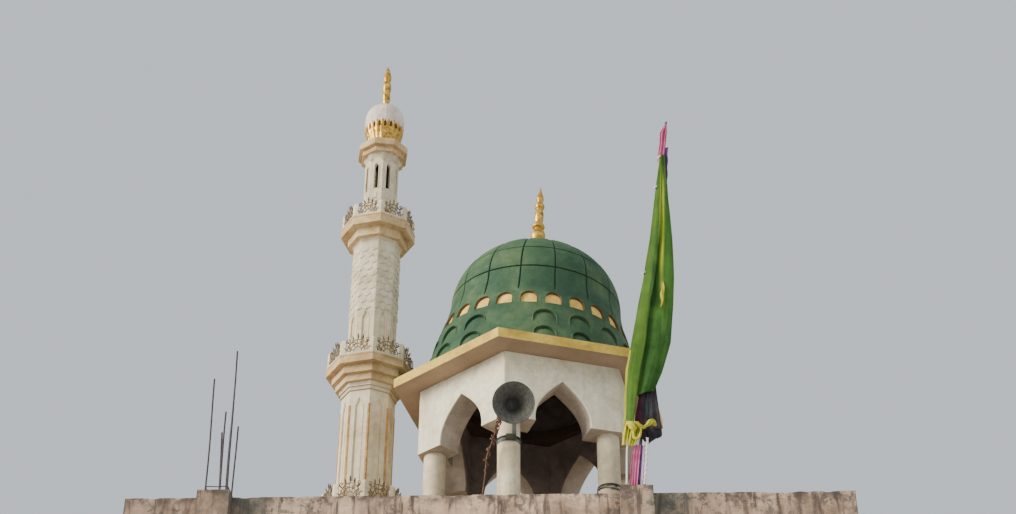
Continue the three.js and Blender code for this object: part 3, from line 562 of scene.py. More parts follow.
def times(tree, first, second):
    return math_of(tree, "MULTIPLY", first, second)


def plus(tree, first, second):
    return math_of(tree, "ADD", first, second)


def apart(tree, value, middle):
    return math_of(tree, "ABSOLUTE", math_of(tree, "SUBTRACT", value, middle))


def axes_of(tree, vector):
    return add(tree, "ShaderNodeSeparateXYZ", {0: vector}).outputs


def facing_up(tree):
    """How far the surface faces up: 1 on a level top, -1 on an underside."""
    return axes_of(tree, add(tree, "ShaderNodeNewGeometry", {}).outputs["Normal"])[2]


def relief(tree, shader, layers):
    """Bump from several heights, each a value, its strength and its depth in metres."""
    normal = None
    for value, strength, depth in layers:
        inputs = {"Height": value, "Strength": strength, "Distance": depth}
        if normal is not None:
            inputs["Normal"] = normal
        normal = add(tree, "ShaderNodeBump", inputs).outputs[0]
    tree.links.new(normal, shader.inputs["Normal"])


def finish_look(made, color, rough, layers=(), **settings):
    """Give a material its colour, roughness and bump. A patchy roughness is its noise's scale and its range;
    a setting's name has _ for each space."""
    material, tree, shader = made
    tree.links.new(color, shader.inputs["Base Color"])
    if isinstance(rough, tuple):
        scale, low, high = rough
        tree.links.new(between(tree, speckle(tree, scale), 0.3, 0.7, low, high), shader.inputs["Roughness"])
    else:
        shader.inputs["Roughness"].default_value = rough
    for name, value in settings.items():
        shader.inputs[name.replace("_", " ")].default_value = value
    if layers:
        relief(tree, shader, layers)
    return material


def stained(tree, color, tone, share, pattern, low, high):
    """Lay a tone over the colour where the pattern is high."""
    return blend(tree, times(tree, between(tree, pattern, low, high), share), color, tone)


def dusted(tree, color, tone, scale, least, most):
    """Patchy dust on what faces up."""
    patchy = between(tree, speckle(tree, scale), 0.3, 0.65, least, most)
    return blend(tree, times(tree, between(tree, facing_up(tree), 0.6, 0.95), patchy), color, tone)


def cracks(tree, scale, width, share):
    """Thin lines along cell borders, shown only in patches."""
    inputs = {0: place_of(tree), 1: speckle(tree, 3.0)}
    bent = add(tree, "ShaderNodeVectorMath", inputs, operation="ADD").outputs[0]
    inputs = {"Vector": bent, "Scale": scale}
    cells = add(tree, "ShaderNodeTexVoronoi", inputs, feature="DISTANCE_TO_EDGE").outputs[0]
    line = between(tree, cells, 0.0, width, 1.0, 0.0)
    return times(tree, line, between(tree, speckle(tree, 1.6), 1.0 - share, 1.0 - share + 0.08))


# Materials
def plaster_base(tree, name, patch_scale):
    patches = speckle(tree, patch_scale, 8.0, 0.62, warp=0.6)
    color = ramp(tree, patches, list(zip((0.36, 0.5, 0.62), TONES[name])))
    blotches = between(tree, speckle(tree, patch_scale * 5.3, 5.0, 0.7), 0.3, 0.7, 0.84, 1.06)
    shade = add(tree, "ShaderNodeCombineXYZ", {0: blotches, 1: blotches, 2: blotches}).outputs[0]
    return blend(tree, 1.0, color, shade, "MULTIPLY")


def bare_plaster():
    """Old cement plaster: peach-beige, with black rain streaks, greenish patches beside the piers and fine
    cracks. The greenish patches are partly wet staining and partly the piers' shadows painted in as shade,
    and the parapet is darker round its piers as painted shade too.
    """
    made = new_material("bare_plaster")
    tree = made[1]
    color = plaster_base(tree, "bare_plaster", 2.6)
    x, y, z = axes_of(tree, place_of(tree))
    along = slide(tree, x, -WIDTH / 2, WIDTH / 2, 0.0, 1.0)
    # Darker at the parapet's left end and round the right pier, brighter in its middle: partly stains, partly
    # the piers' shadows painted in as shade
    parapet_shading = ramp(tree, along, [
        (0.19, STAIN_AND_PIER_SHADE), (0.265, PARAPET_MIDDLE), (0.64, PARAPET_MIDDLE), (0.68, STAIN_AND_PIER_SHADE), (0.765, STAIN_AND_PIER_SHADE), (0.80, PLAIN_WALL),
    ])
    parapet = between(tree, z, ROOF - 0.8, ROOF + 0.2)
    color = blend(tree, 1.0, color, blend(tree, parapet, PLAIN_WALL, parapet_shading), "MULTIPLY")
    under_edge = between(tree, z, PARAPET_TOP - 0.75, PARAPET_TOP - 0.02)
    mottle = between(tree, speckle(tree, 9.0, 8.0, 0.8, warp=0.3), 0.50, 0.56)
    worn = between(tree, speckle(tree, 1.9, 5.0, 0.6), 0.38, 0.54, 0.1, 0.85)
    worn = times(tree, worn, plus(tree, times(tree, under_edge, 0.7), 0.3))
    color = blend(tree, times(tree, mottle, worn), color, MOTTLE)
    drips = between(tree, speckle(tree, 1.0, 5.0, 0.62, (15.0, 15.0, 1.7), 0.25), 0.49, 0.66)
    drips = times(tree, drips, plus(tree, times(tree, under_edge, 0.7), 0.25))
    color = blend(tree, drips, color, RAIN_STREAK)
    near_edge = between(tree, z, PARAPET_TOP - 0.13, PARAPET_TOP - 0.005, 0.0, 0.9)
    color = stained(tree, color, BROKEN_EDGE, near_edge, speckle(tree, 6.0, 6.0, 0.7), 0.42, 0.56)
    front = between(tree, y, FRONT - 0.01, FRONT + 0.02, 1.0, 0.0)
    # Greenish patches just right of each pier, where its shadow falls on the front: partly wet staining,
    # partly the pier's shadow painted in
    for pier in (LEFT_PIER_X, RIGHT_PIER_X):
        pier_shadow_reach = between(tree, apart(tree, x, pier + 0.31), 0.08, 0.26, 1.0, 0.0)
        patchy = between(tree, speckle(tree, 9.0), 0.3, 0.55, 0.35, 0.95)
        patchy = times(tree, times(tree, pier_shadow_reach, front), patchy)
        color = blend(tree, times(tree, patchy, under_edge), color, DAMP_AND_PIER_SHADE)
    splash = times(tree, between(tree, z, 0.0, 0.7, 1.0, 0.0), 0.6)
    color = stained(tree, color, SPLASH, splash, speckle(tree, 4.0), 0.35, 0.6)
    color = dusted(tree, color, PLASTER_DUST, 2.4, 0.35, 0.9)
    lines = cracks(tree, 3.2, 0.012, 0.44)
    color = blend(tree, times(tree, lines, 0.8), color, CRACK)
    return finish_look(made, color, (20.0, 0.82, 0.97), [
        (speckle(tree, 4.0, 7.0), 0.6, 0.02),
        (speckle(tree, 55.0, 4.0, 0.7), 0.5, 0.004),
        (lines, -0.5, 0.004),
    ])


def painted_plaster(name):
    """Cream lime paint: brushed, dusty, with faint drips and dark specks, and turned ochre on faces that look
    down as painted shade.
    """
    made = new_material(name)
    tree = made[1]
    color = plaster_base(tree, name, 2.6)
    drips = speckle(tree, 1.0, 5.0, 0.6, (26.0, 26.0, 2.0), 0.2)
    color = stained(tree, color, PAINT_DRIP, 0.25, drips, 0.52, 0.74)
    color = stained(tree, color, PAINT_SPECK, 0.4, speckle(tree, 46.0, 3.0), 0.66, 0.72)
    # Faces that look down turn ochre: painted shade
    color = blend(tree, between(tree, facing_up(tree), -0.9, -0.5, 0.9, 0.0), color, PAINTED_UNDERSIDE_SHADE)
    color = dusted(tree, color, PAINT_DUST, 9.0, 0.4, 0.9)
    return finish_look(made, color, (30.0, 0.7, 0.9), [
        (speckle(tree, 9.0), 0.4, 0.008),
        (speckle(tree, 1.0, 4.0, 0.6, (160.0, 160.0, 30.0)), 0.35, 0.002),
    ])


def patchy_paint(name, patch, rough, bump):
    """Paint or plaster of one hue in hand-smoothed patches. Bump is its noise's scale, strength and depth."""
    made = new_material(name)
    tree = made[1]
    scale, strength, depth = bump
    layers = [(speckle(tree, scale), strength, depth)]
    return finish_look(made, plaster_base(tree, name, patch), rough, layers)


def plain_plaster(name, patch=3.0):
    return patchy_paint(name, patch, (20.0, 0.8, 0.97), (12.0, 0.5, 0.008))


def yellow_paint():
    """Ochre-yellow paint, worn to brown plaster in patches; tan on the underside and dark where the eave runs
    in under the dome, both painted shade.
    """
    made = new_material("yellow_paint")
    tree = made[1]
    color = plaster_base(tree, "yellow_paint", 3.4)
    color = stained(tree, color, YELLOW_WORN, 0.5, speckle(tree, 15.0, 6.0, 0.7), 0.62, 0.72)
    # Tan on faces that look down: painted shade
    tan = ramp(tree, speckle(tree, 2.2), list(zip((0.35, 0.65), TONES["eave_underside_shade"])))
    color = blend(tree, between(tree, facing_up(tree), -0.9, -0.4, 1.0, 0.0), color, tan)
    color = dusted(tree, color, YELLOW_DUST, 7.0, 0.4, 0.95)
    # Dark where the eave runs in under the dome, inside the kiosk: painted shade
    x, y, z = axes_of(tree, place_of(tree))
    flat = add(tree, "ShaderNodeCombineXYZ", {0: x, 1: y}).outputs[0]
    centre = (KIOSK_X, KIOSK_Y, 0.0)
    reach = add(tree, "ShaderNodeVectorMath", {0: flat, 1: centre}, operation="DISTANCE").outputs["Value"]
    color = blend(tree, between(tree, reach, 0.86, 0.93, 1.0, 0.0), color, EAVE_INNER_SHADE)
    return finish_look(made, color, (30.0, 0.6, 0.86), [
        (speckle(tree, 12.0), 0.4, 0.006),
        (speckle(tree, 70.0, 4.0), 0.3, 0.002),
    ])


def green_paint():
    """Dome green: brushed in strips, sun-bleached in patches, dark in the damp ones."""
    made = new_material("green_paint")
    tree = made[1]
    color = plaster_base(tree, "green_paint", 2.0)
    brush = speckle(tree, 1.0, 5.0, 0.6, (34.0, 34.0, 3.0), 0.3)
    color = stained(tree, color, GREEN_BRUSH, 0.35, brush, 0.35, 0.7)
    color = stained(tree, color, GREEN_BLEACHED, 0.3, speckle(tree, 24.0, 6.0, 0.7), 0.64, 0.74)
    return finish_look(made, color, (18.0, 0.68, 0.9), [
        (speckle(tree, 10.0), 0.45, 0.01),
        (speckle(tree, 1.0, 4.0, 0.6, (120.0, 120.0, 20.0)), 0.35, 0.002),
    ], Specular_IOR_Level=0.3)


def grained(name, grain, stops, rough, bump, mark=None, **settings):
    """A material whose tones follow one noise: grain is its scale, detail and roughness; mark adds to it."""
    made = new_material(name)
    tree = made[1]
    color = ramp(tree, speckle(tree, *grain), list(zip(stops, TONES[name])))
    if mark is not None:
        color = mark(tree, color)
    layers = [(speckle(tree, bump[0]), bump[1], bump[2])] if bump else []
    return finish_look(made, color, rough, layers, **settings)


def groove_paint():
    return grained("groove_shadow_paint", (20.0,), (0.35, 0.7), MATT, (60.0, 0.3, 0.002))


def niche_shade_paint():
    return grained("niche_shade_paint", (30.0,), (0.35, 0.7), MATT, (60.0, 0.3, 0.002))


def gold_paint():
    """Gilded metal with bright and brown patches."""
    stops = (0.34, 0.5, 0.66)
    rough = (40.0, 0.28, 0.55)
    return grained("gold_paint", (22.0, 6.0, 0.65), stops, rough, (45.0, 0.35, 0.003), Metallic=0.75)


def rust_spots(tree, color):
    return stained(tree, color, RUST, 0.7, speckle(tree, 32.0, 6.0, 0.7), 0.64, 0.72)


def grey_metal():
    """Grey-olive enamel, dusty, with rust spots."""
    stops = (0.35, 0.55, 0.7)
    rough = (25.0, 0.45, 0.75)
    bump = (40.0, 0.3, 0.003)
    return grained("grey_metal", (7.0, 6.0, 0.65), stops, rough, bump, rust_spots, Metallic=0.25)


def rusty_steel(name):
    rough = (60.0, 0.65, 0.92)
    return grained(name, (35.0, 6.0, 0.7), (0.34, 0.66), rough, (90.0, 0.5, 0.003),
                   Metallic=0.15, Specular_IOR_Level=0.25)


def pale_floor():
    return grained("pale_floor", (0.4, 4.0, 0.5), (0.3, 0.7), MATT, None)


def wave(tree, where, scale, direction, **inputs):
    inputs = {"Vector": where, "Scale": scale, **inputs}
    return add(tree, "ShaderNodeTexWave", inputs, bands_direction=direction).outputs[1]


def sheath(name):
    """Twisted cable sheath."""
    made = new_material(name)
    tree = made[1]
    color = ramp(tree, speckle(tree, 28.0, 5.0, 0.65), list(zip((0.35, 0.65), TONES[name])))
    twist = wave(tree, place_of(tree), 60.0, "DIAGONAL", Distortion=1.5)
    return finish_look(made, color, (50.0, 0.6, 0.85), [(twist, 0.4, 0.0015)])


def stripe(tree, line, heights, half):
    """A soft upright stripe on the furled flag: line is x at the lower height and at the upper one."""
    x, y, z = axes_of(tree, place_of(tree))
    low, high = heights
    distance = apart(tree, x, slide(tree, z, low, high, *line))
    core = between(tree, distance, half * 0.25, half, 1.0, 0.0)
    fade = (high - low) * 0.25
    rise = between(tree, z, low - fade, low + fade)
    fall = between(tree, z, high - fade, high + fade, 1.0, 0.0)
    return times(tree, core, times(tree, rise, fall))


def flag_lit_band(tree):
    """The cloth left of the flag's long crease is more yellow than the rest: painted light on that band."""
    x, y, z = axes_of(tree, place_of(tree))
    crease = slide(tree, z, 9.706, 11.807, 1.502, 1.773)
    left = math_of(tree, "SUBTRACT", crease, x)
    tone = ramp(tree, speckle(tree, 5.0, warp=0.4), list(zip((0.35, 0.65), TONES["flag_lit_band"])))
    return between(tree, left, -0.012, 0.012), tone


def banner_edge(tree):
    """The dark cloth is maroon on its left side."""
    x, y, z = axes_of(tree, place_of(tree))
    tone = ramp(tree, speckle(tree, 9.0), list(zip((0.35, 0.65), TONES["banner_edge"])))
    return between(tree, x, 1.415, 1.475, 1.0, 0.0), tone


def cloth(name, thread, sheen, thin=0.0, second=None):
    """Woven cloth: two crossing sets of threads, folds bleached unevenly, a soft sheen."""
    made = new_material(name)
    tree = made[1]
    low = TONES[name][0]
    color = ramp(tree, speckle(tree, 3.5, 7.0, 0.6, warp=0.5), list(zip((0.34, 0.5, 0.66), TONES[name])))
    if second is not None:
        share, tone = second(tree)
        color = blend(tree, share, color, tone)
    for line, heights, half, tone, share in STRIPES.get(name, ()):
        color = blend(tree, times(tree, stripe(tree, line, heights, half), share), color, tone)
    detail = {"Distortion": 0.6, "Detail Scale": 3.0}
    warp = wave(tree, place_of(tree, (1.0, 1.0, 0.05)), thread, "X", **detail)
    weft = wave(tree, place_of(tree, (0.05, 0.05, 1.0)), thread, "Z", **detail)
    weave = plus(tree, times(tree, warp, 0.5), times(tree, weft, 0.5))
    color = blend(tree, between(tree, weave, 0.2, 0.9, 0.25, 0.0), color, low)
    return finish_look(
        made, color, (12.0, 0.7, 0.9), [(weave, 0.4, 0.0012), (speckle(tree, 26.0), 0.35, 0.004)],
        Specular_IOR_Level=0.2, Sheen_Weight=sheen, Sheen_Roughness=0.5,
        Subsurface_Weight=thin, Subsurface_Scale=0.02)


# Shape helpers
class Shape:
    """Vertices and faces that are gathered before they become one piece."""

    def __init__(self, *forms):
        self.points = []
        self.faces = []
        self.kinds = []
        for form in forms:
            self.add(form)

    def add(self, form, kind=0):
        points, faces = form
        start = len(self.points)
        self.points.extend(Vector(point) for point in points)
        self.faces.extend([start + i for i in face] for face in faces)
        self.kinds.extend([kind] * len(faces))

    def moved(self, move):
        self.points = [move(point) for point in self.points]
        return self


def make_piece(name, shape, materials, stands_for=(), smooth=35.0, bevel=0.0):
    mesh = bpy.data.meshes.new(name)
    work = bmesh.new()
    verts = [work.verts.new(point) for point in shape.points]
    for face, kind in zip(shape.faces, shape.kinds):
        if len(set(face)) > 2:
            made = work.faces.new([verts[i] for i in face])
            made.material_index = kind
            made.smooth = smooth > 0
    bmesh.ops.remove_doubles(work, verts=work.verts, dist=1e-5)
    bmesh.ops.dissolve_degenerate(work, edges=work.edges, dist=1e-6)
    bmesh.ops.recalc_face_normals(work, faces=work.faces)
    work.to_mesh(mesh)
    work.free()
    if smooth > 0:
        mesh.set_sharp_from_angle(angle=math.radians(smooth))
    for material in materials:
        mesh.materials.append(material)
    piece = bpy.data.objects.new(name, mesh)
    bpy.context.collection.objects.link(piece)
    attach(piece, "root")
    if stands_for:
        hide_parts(*stands_for)
    if bevel > 0:
        soften(piece, bevel)
    return piece


def soften(piece, width):
    edge = piece.modifiers.new("worn_edges", "BEVEL")
    edge.width = width
    edge.segments = 2
    edge.limit_method = "ANGLE"
    edge.angle_limit = math.radians(30)


def thicken(piece, thickness):
    sheet = piece.modifiers.new("cloth_thickness", "SOLIDIFY")
    sheet.thickness = thickness
    sheet.offset = 0.0


def dress(name, material, bevel=0.0):
    """Give a solid of the frame its material and, if asked, worn edges."""
    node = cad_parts[name]
    node.data.materials.clear()
    node.data.materials.append(material)
    if bevel > 0:
        soften(node, bevel)


def grid_faces(rows, columns, wrap=False):
    faces = []
    for row in range(rows - 1):
        for column in range(columns if wrap else columns - 1):
            here = row * columns + column
            after = row * columns + (column + 1) % columns
            faces.append([here, after, after + columns, here + columns])
    return faces


def closing_faces(rows, columns):
    """Faces from the last row of a wrapped grid back to its first."""
    last = (rows - 1) * columns
    return [[last + i, last + (i + 1) % columns, (i + 1) % columns, i] for i in range(columns)]


def end_faces(rows, columns):
    """The two flat ends of a wrapped grid."""
    return [list(range(columns))[::-1], [(rows - 1) * columns + i for i in range(columns)]]


def catmull(points, steps):
    """A smooth run of points through the given ones."""
    points = [Vector(point) for point in points]
    ends = [points[0] * 2 - points[1], *points, points[-1] * 2 - points[-2]]
    run = []
    for i in range(1, len(ends) - 2):
        before, first, second, after = ends[i - 1:i + 3]
        for step in range(steps):
            t = step / steps
            run.append(0.5 * (
                2 * first + (second - before) * t
                + (2 * before - 5 * first + 4 * second - after) * t ** 2
                + (3 * first - before - 3 * second + after) * t ** 3))
    run.append(points[-1])
    return run


def smooth_pairs(pairs, steps):
    return [(point.x, point.y) for point in catmull([(x, y, 0.0) for x, y in pairs], steps)]


def lathe(profile, segments, centre=(0.0, 0.0, 0.0), turn=0.0, closed=False):
    """A profile of (radius, height) pairs turned about the upright axis through centre."""
    points = []
    for radius, height in profile:
        for i in range(segments):
            spot = polar(radius, turn + 360.0 * i / segments)
            points.append(Vector((centre[0] + spot.x, centre[1] + spot.y, centre[2] + height)))
    faces = grid_faces(len(profile), segments, wrap=True)
    if closed:
        faces += closing_faces(len(profile), segments)
    return points, faces


def tube(path, radius, sides=10, flat=1.0, loop=False):
    """A round or flattened section swept along a path; radius is one number or one for each point."""
    path = [Vector(point) for point in path]
    count = len(path)
    radii = list(radius) if hasattr(radius, "__len__") else [radius] * count
    points = []
    normal = None
    for i in range(count):
        before = path[i - 1] if loop or i > 0 else path[i]
        after = path[(i + 1) % count] if loop or i < count - 1 else path[i]
        along = (after - before).normalized()
        if normal is None:
            normal = along.orthogonal().normalized()
        normal = (normal - along * normal.dot(along)).normalized()
        side = along.cross(normal)
        for k in range(sides):
            angle = 2 * math.pi * k / sides
            offset = normal * math.cos(angle) + side * (math.sin(angle) * flat)
            points.append(path[i] + offset * radii[i])
    ends = closing_faces(count, sides) if loop else end_faces(count, sides)
    return points, grid_faces(count, sides, wrap=True) + ends


def strip(path, across, thick):
    """A flat band: across gives, for each point, the vector from its middle to one edge."""
    path = [Vector(point) for point in path]
    points = []
    for i, point in enumerate(path):
        before = path[max(i - 1, 0)]
        after = path[min(i + 1, len(path) - 1)]
        side = Vector(across[i])
        out = (after - before).cross(side).normalized() * (thick / 2)
        points += [point - side - out, point + side - out, point + side + out, point - side + out]
    return points, grid_faces(len(path), 4, wrap=True) + end_faces(len(path), 4)


def prism(levels):
    """A solid through flat outlines, each given with its height."""
    points = [Vector((x, y, height)) for height, outline in levels for x, y in outline]
    count = len(levels[0][1])
    return points, grid_faces(len(levels), count, wrap=True) + end_faces(len(levels), count)


def pointed_head(half, rise, steps):
    """Half of a pointed head from its right foot to its apex, as (x, height) pairs."""
    controls = ((half, 0.0), (half * 1.076, rise * 0.4), (half * 0.638, rise * 0.686), (0.0, rise))
    points = []
    for step in range(steps + 1):
        t = step / steps
        weights = ((1 - t) ** 3, 3 * t * (1 - t) ** 2, 3 * t ** 2 * (1 - t), t ** 3)
        points.append(tuple(sum(w * c[axis] for w, c in zip(weights, controls)) for axis in (0, 1)))
    return points


def full_head(half, rise, steps):
    right = pointed_head(half, rise, steps)
    return right + [(-x, height) for x, height in reversed(right[:-1])]


# Building block
def dress_block(plaster):
    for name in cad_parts:
        if name.endswith(("_wall_lower", "_wall_upper", "_slab", "_floor", "_pier", "_parapet")):
            dress(name, plaster, BLOCK_BEVEL)


def weathered(point, low, high):
    """Sink a point of a box's skin: a little anywhere, more beside an arris."""
    middle = (low + high) / 2
    depths = [min(point[axis] - low[axis], high[axis] - point[axis]) for axis in range(3)]
    near = max(0.0, 1.0 - sorted(depths)[1] / CHIP_REACH)
    waves = ((3.1, 0.5), (11.0, 0.3), (37.0, 0.2))
    wander = sum(noise.noise(point * scale) * share for scale, share in waves)
    chip = max(0.0, noise.noise(point * 8.0 + Vector((5.0, 1.0, 2.0))) - 0.12)
    sink = SKIN_ROUGH * (0.55 + wander * 0.9) + near * (SKIN_ROUGH * 0.8 + chip * SKIN_ROUGH * 5.0)
    for axis in range(3):
        if depths[axis] < 1e-6:
            point[axis] -= math.copysign(max(0.0, sink), point[axis] - middle[axis])
    return point


def worn_block(name, low, high, cell, material):
    """A box with a fine skin whose faces wander and whose arrises are chipped, in place of a plain node."""
    low = Vector(low)
    high = Vector(high)
    size = high - low
    counts = [max(2, round(size[axis] / cell)) for axis in range(3)]
    shape = Shape()
    for axis in range(3):
        u, v = [k for k in range(3) if k != axis]
        for end in (low, high):
            points = []
            for i in range(counts[u] + 1):
                for j in range(counts[v] + 1):
                    point = end.copy()
                    point[u] = low[u] + size[u] * i / counts[u]
                    point[v] = low[v] + size[v] * j / counts[v]
                    points.append(point)
            shape.add((points, grid_faces(counts[u] + 1, counts[v] + 1)))
    shape.moved(lambda point: weathered(point, low, high))
    make_piece(name + "_worn", shape, [material], [name], smooth=50)


def make_worn_crown(plaster):
    """The four parapets that the photograph shows or suggests, with chipped tops."""
    inner = DEPTH / 2 - WALL
    for name, low_y, high_y in (("front_parapet", FRONT, -inner), ("back_parapet", inner, DEPTH / 2)):
        high = (WIDTH / 2, high_y, PARAPET_TOP)
        worn_block(name, (-WIDTH / 2, low_y, ROOF + GAP), high, SKIN_CELL, plaster)
    for name, low_x in (("left_parapet", -WIDTH / 2), ("right_parapet", WIDTH / 2 - WALL)):
        high = (low_x + WALL, inner - GAP, PARAPET_TOP)
        worn_block(name, (low_x, -inner + GAP, ROOF + GAP), high, SIDE_SKIN_CELL, plaster)


def grille():
    """Frame and bars of one window in the plane x, z; depth runs along y."""
    half = WINDOW_HALF - 0.004
    sill = WINDOW_SILL + 0.004
    head = [(x, sill + WINDOW_JAMB + height) for x, height in full_head(half, 2 * half * HEAD_RISE, 10)]
    outline = [(-half, sill), (half, sill)] + head
    middle = sum(point[1] for point in outline) / len(outline)
    points = []
    for side, inset in ((-1, 0.0), (-1, GRILLE_FRAME), (1, GRILLE_FRAME), (1, 0.0), (-1, 0.0)):
        for x, z in outline:
            pull = Vector((-x, middle - z)).normalized() * inset
            points.append((x + pull.x, side * GRILLE_DEPTH / 2, z + pull.y))
    shape = Shape((points, grid_faces(5, len(outline), wrap=True)))
    head = pointed_head(WINDOW_HALF - 0.02, 2 * WINDOW_HALF * HEAD_RISE, 24)
    for i in range(GRILLE_BARS):
        x = (i + 1) / (GRILLE_BARS + 1) * 2 * WINDOW_HALF - WINDOW_HALF
        top = max(height for edge, height in head if edge >= abs(x) - 0.02)
        path = [(x, 0.0, WINDOW_SILL + 0.01), (x, 0.0, WINDOW_SILL + WINDOW_JAMB + top - 0.01)]
        shape.add(tube(path, GRILLE_BAR_RADIUS, 8))
    for share in GRILLE_RAILS:
        z = WINDOW_SILL + WINDOW_JAMB * share
        path = [(-WINDOW_HALF + 0.01, 0.0, z), (WINDOW_HALF - 0.01, 0.0, z)]
        shape.add(strip(path, [(0.0, 0.0, 0.014)] * 2, 0.006))
    return shape


def turned_shape(shape, turn, shift):
    matrix = Matrix.Translation(Vector(shift)) @ Matrix.Rotation(math.radians(turn), 4, "Z")
    return shape.moved(lambda point: matrix @ point)


def make_grilles(iron):
    depth = DEPTH / 2 - WALL / 2
    width = WIDTH / 2 - WALL / 2
    trio = (BAY_MIDDLE_X - PAIR_OFFSET, BAY_MIDDLE_X + PAIR_OFFSET, RIGHT_BAY_X)
    for floor, level in ((FLOOR_0, "lower"), (FLOOR_1, "upper")):
        front = (RIGHT_BAY_X,) if level == "lower" else trio
        rows = {
            "front_": [(x, -depth, 0.0) for x in front],
            "back_": [(x, depth, 180.0) for x in trio],
            "left_": [(-width, y, -90.0) for y in (-SIDE_WINDOW_Y, SIDE_WINDOW_Y)],
            "right_": [(width, y, 90.0) for y in (-SIDE_WINDOW_Y, SIDE_WINDOW_Y)],
        }
        for name, places in rows.items():
            whole = Shape()
            for x, y, turn in places:
                one = turned_shape(grille(), turn, (x, y, floor))
                whole.add((one.points, one.faces))
            make_piece("window_grilles_" + name + level, whole, [iron], smooth=30)


# Kiosk
def column_centre(i):
    return polar(COLUMN_CIRCLE, KIOSK_AZIMUTH + 60 * i, 0.0, KIOSK)


def make_columns(paint):
    for i in range(6):
        centre = column_centre(i)
        profile = [(0.0, ROOF + GAP), (COLUMN_RADIUS, ROOF + GAP)]
        for k in range(COLUMN_ROWS + 1):
            z = ROOF + 0.001 + (SPRING - ROOF - 0.002) * k / COLUMN_ROWS
            hand = noise.noise(Vector((i * 3.0, 0.0, z * 2.3))) * 0.0012
            profile.append((COLUMN_RADIUS - 0.0014 + hand, z))
        profile += [(COLUMN_RADIUS - 0.002, SPRING - GAP), (0.0, SPRING - GAP)]
        name = "kiosk_column_%d" % (i + 1)
        make_piece(name + "_round", Shape(lathe(profile, 40, centre)), [paint], [name])


def arch_panel():
    """One side of the arched ring at azimuth 0, its outer face towards -Y, foot at height 0."""
    half = KIOSK_RADIUS / 2
    apothem = KIOSK_RADIUS * math.cos(math.radians(30))
    head = full_head(ARCH_HALF, ARCH_RISE, 20)
    points = []
    for depth in (0.0, PANEL_CHAMFER, PANEL_DEPTH - PANEL_CHAMFER, PANEL_DEPTH):
        edge = half - depth * math.tan(math.radians(30)) - GAP
        flare = ARCH_FLARE if depth in (0.0, PANEL_DEPTH) else 0.0
        outline = [(edge, 0.0), (edge, PANEL_HEIGHT - GAP), (-edge, PANEL_HEIGHT - GAP), (-edge, 0.0)]
        for x, z in reversed(head):
            outline.append((x * (1 + flare / ARCH_HALF), z * (1 + flare / ARCH_RISE)))
        points += [Vector((x, depth - apothem, z)) for x, z in outline]
    count = len(outline)
    faces = grid_faces(4, count, wrap=True)
    faces.append(list(range(count)))
    faces.append([3 * count + i for i in range(count)][::-1])
    return points, faces


def make_arches(paint, inner_shade, tunnel_shade):
    """Each panel is painted outside; its arch's tunnel takes a darker plaster and its inner side a dark one,
    both painted shade.
    """
    for i in range(6):
        shape = Shape(arch_panel())
        count = (len(shape.faces) - 2) // 3
        # Kind 2, the tunnel, takes the darker tunnel plaster and kind 1, the inner side and back, the dark
        # inner one: both painted shade
        shape.kinds = [0] * count + [2] * count + [1] * count + [0, 1]
        turned_shape(shape, KIOSK_AZIMUTH + 30 + 60 * i, (KIOSK_X, KIOSK_Y, SPRING))
        name = "kiosk_arch_%d" % (i + 1)
        materials = [paint, inner_shade, tunnel_shade]
        make_piece(name + "_smooth", shape, materials, [name], 28, PAINT_BEVEL)


# Dome
def dome_outline():
    """Radius and height of the skirt and the cap, from the foot up."""
    outline = smooth_pairs(SKIRT, 10)
    for step in range(58):
        angle = math.radians(3.0 + 1.5 * step)
        outline.append((CAP_RADIUS * math.cos(angle), CAP_CENTRE + CAP_HEIGHT * math.sin(angle)))
    return outline + [(0.0, CAP_CENTRE + CAP_HEIGHT)]


OUTLINE = dome_outline()


def outline_at(height):
    """The dome's radius at a height over the eave, and the direction out of its surface."""
    for (r0, h0), (r1, h1) in zip(OUTLINE, OUTLINE[1:]):
        if height <= h1:
            break
    return r0 + (r1 - r0) * (height - h0) / (h1 - h0), Vector((h1 - h0, r0 - r1)).normalized()


def radius_at(height):
    return outline_at(height)[0]


def dome_spot(height, azimuth, out=0.0):
    """A point on the dome at a height over the eave, moved out along the surface's own direction."""
    radius, slope = outline_at(height)
    return polar(max(0.0, radius + slope.x * out), azimuth, EAVE_TOP + height + slope.y * out, KIOSK)


def leaned(point):
    """The dome as built leans a little to the right, and its rings dip to the right."""
    height = point.z - EAVE_TOP
    share = min(1.0, max(0.0, height / TILT_RISE))
    share = share * share * (3 - 2 * share)
    dip = DOME_TILT * (point.x - KIOSK_X) * share
    return Vector((point.x + DOME_LEAN * height, point.y, point.z - dip))


def marked_heights(start, end, marks, near, coarse):
    """Heights from start to end, dense around each mark and coarse between marks."""
    values = {start, end}
    value = start
    while value < end:
        values.add(value)
        value += coarse
    for mark in marks:
        for step in near:
            values.update(place for place in (mark - step, mark + step) if start < place < end)
    ordered = sorted(values)
    kept = [ordered[0]]
    for value in ordered[1:]:
        if value - kept[-1] > near[1] * 0.45:
            kept.append(value)
    if kept[-1] != end:
        kept[-1] = end
    return kept


def groove_depth(distance):
    share = min(1.0, max(0.0, (distance - GROOVE_FLAT) / GROOVE_SLOPE))
    return GROOVE_DEPTH * (1.0 - share)


def cap_depth(height, azimuth):
    """How deep the upright and level grooves cut at one point of the cap."""
    radius = radius_at(height)
    turn = (azimuth - GROOVE_AZIMUTH) % (360.0 / GROOVE_COUNT)
    turn = min(turn, 360.0 / GROOVE_COUNT - turn)
    depth = 0.0
    if GROOVE_FOOT < height < GROOVE_TOP:
        depth = groove_depth(math.radians(turn) * radius)
    slope = max(0.25, radius / CAP_RADIUS)
    return max(depth, *(groove_depth(abs(height - level) / slope) for level in GROOVE_HEIGHTS))


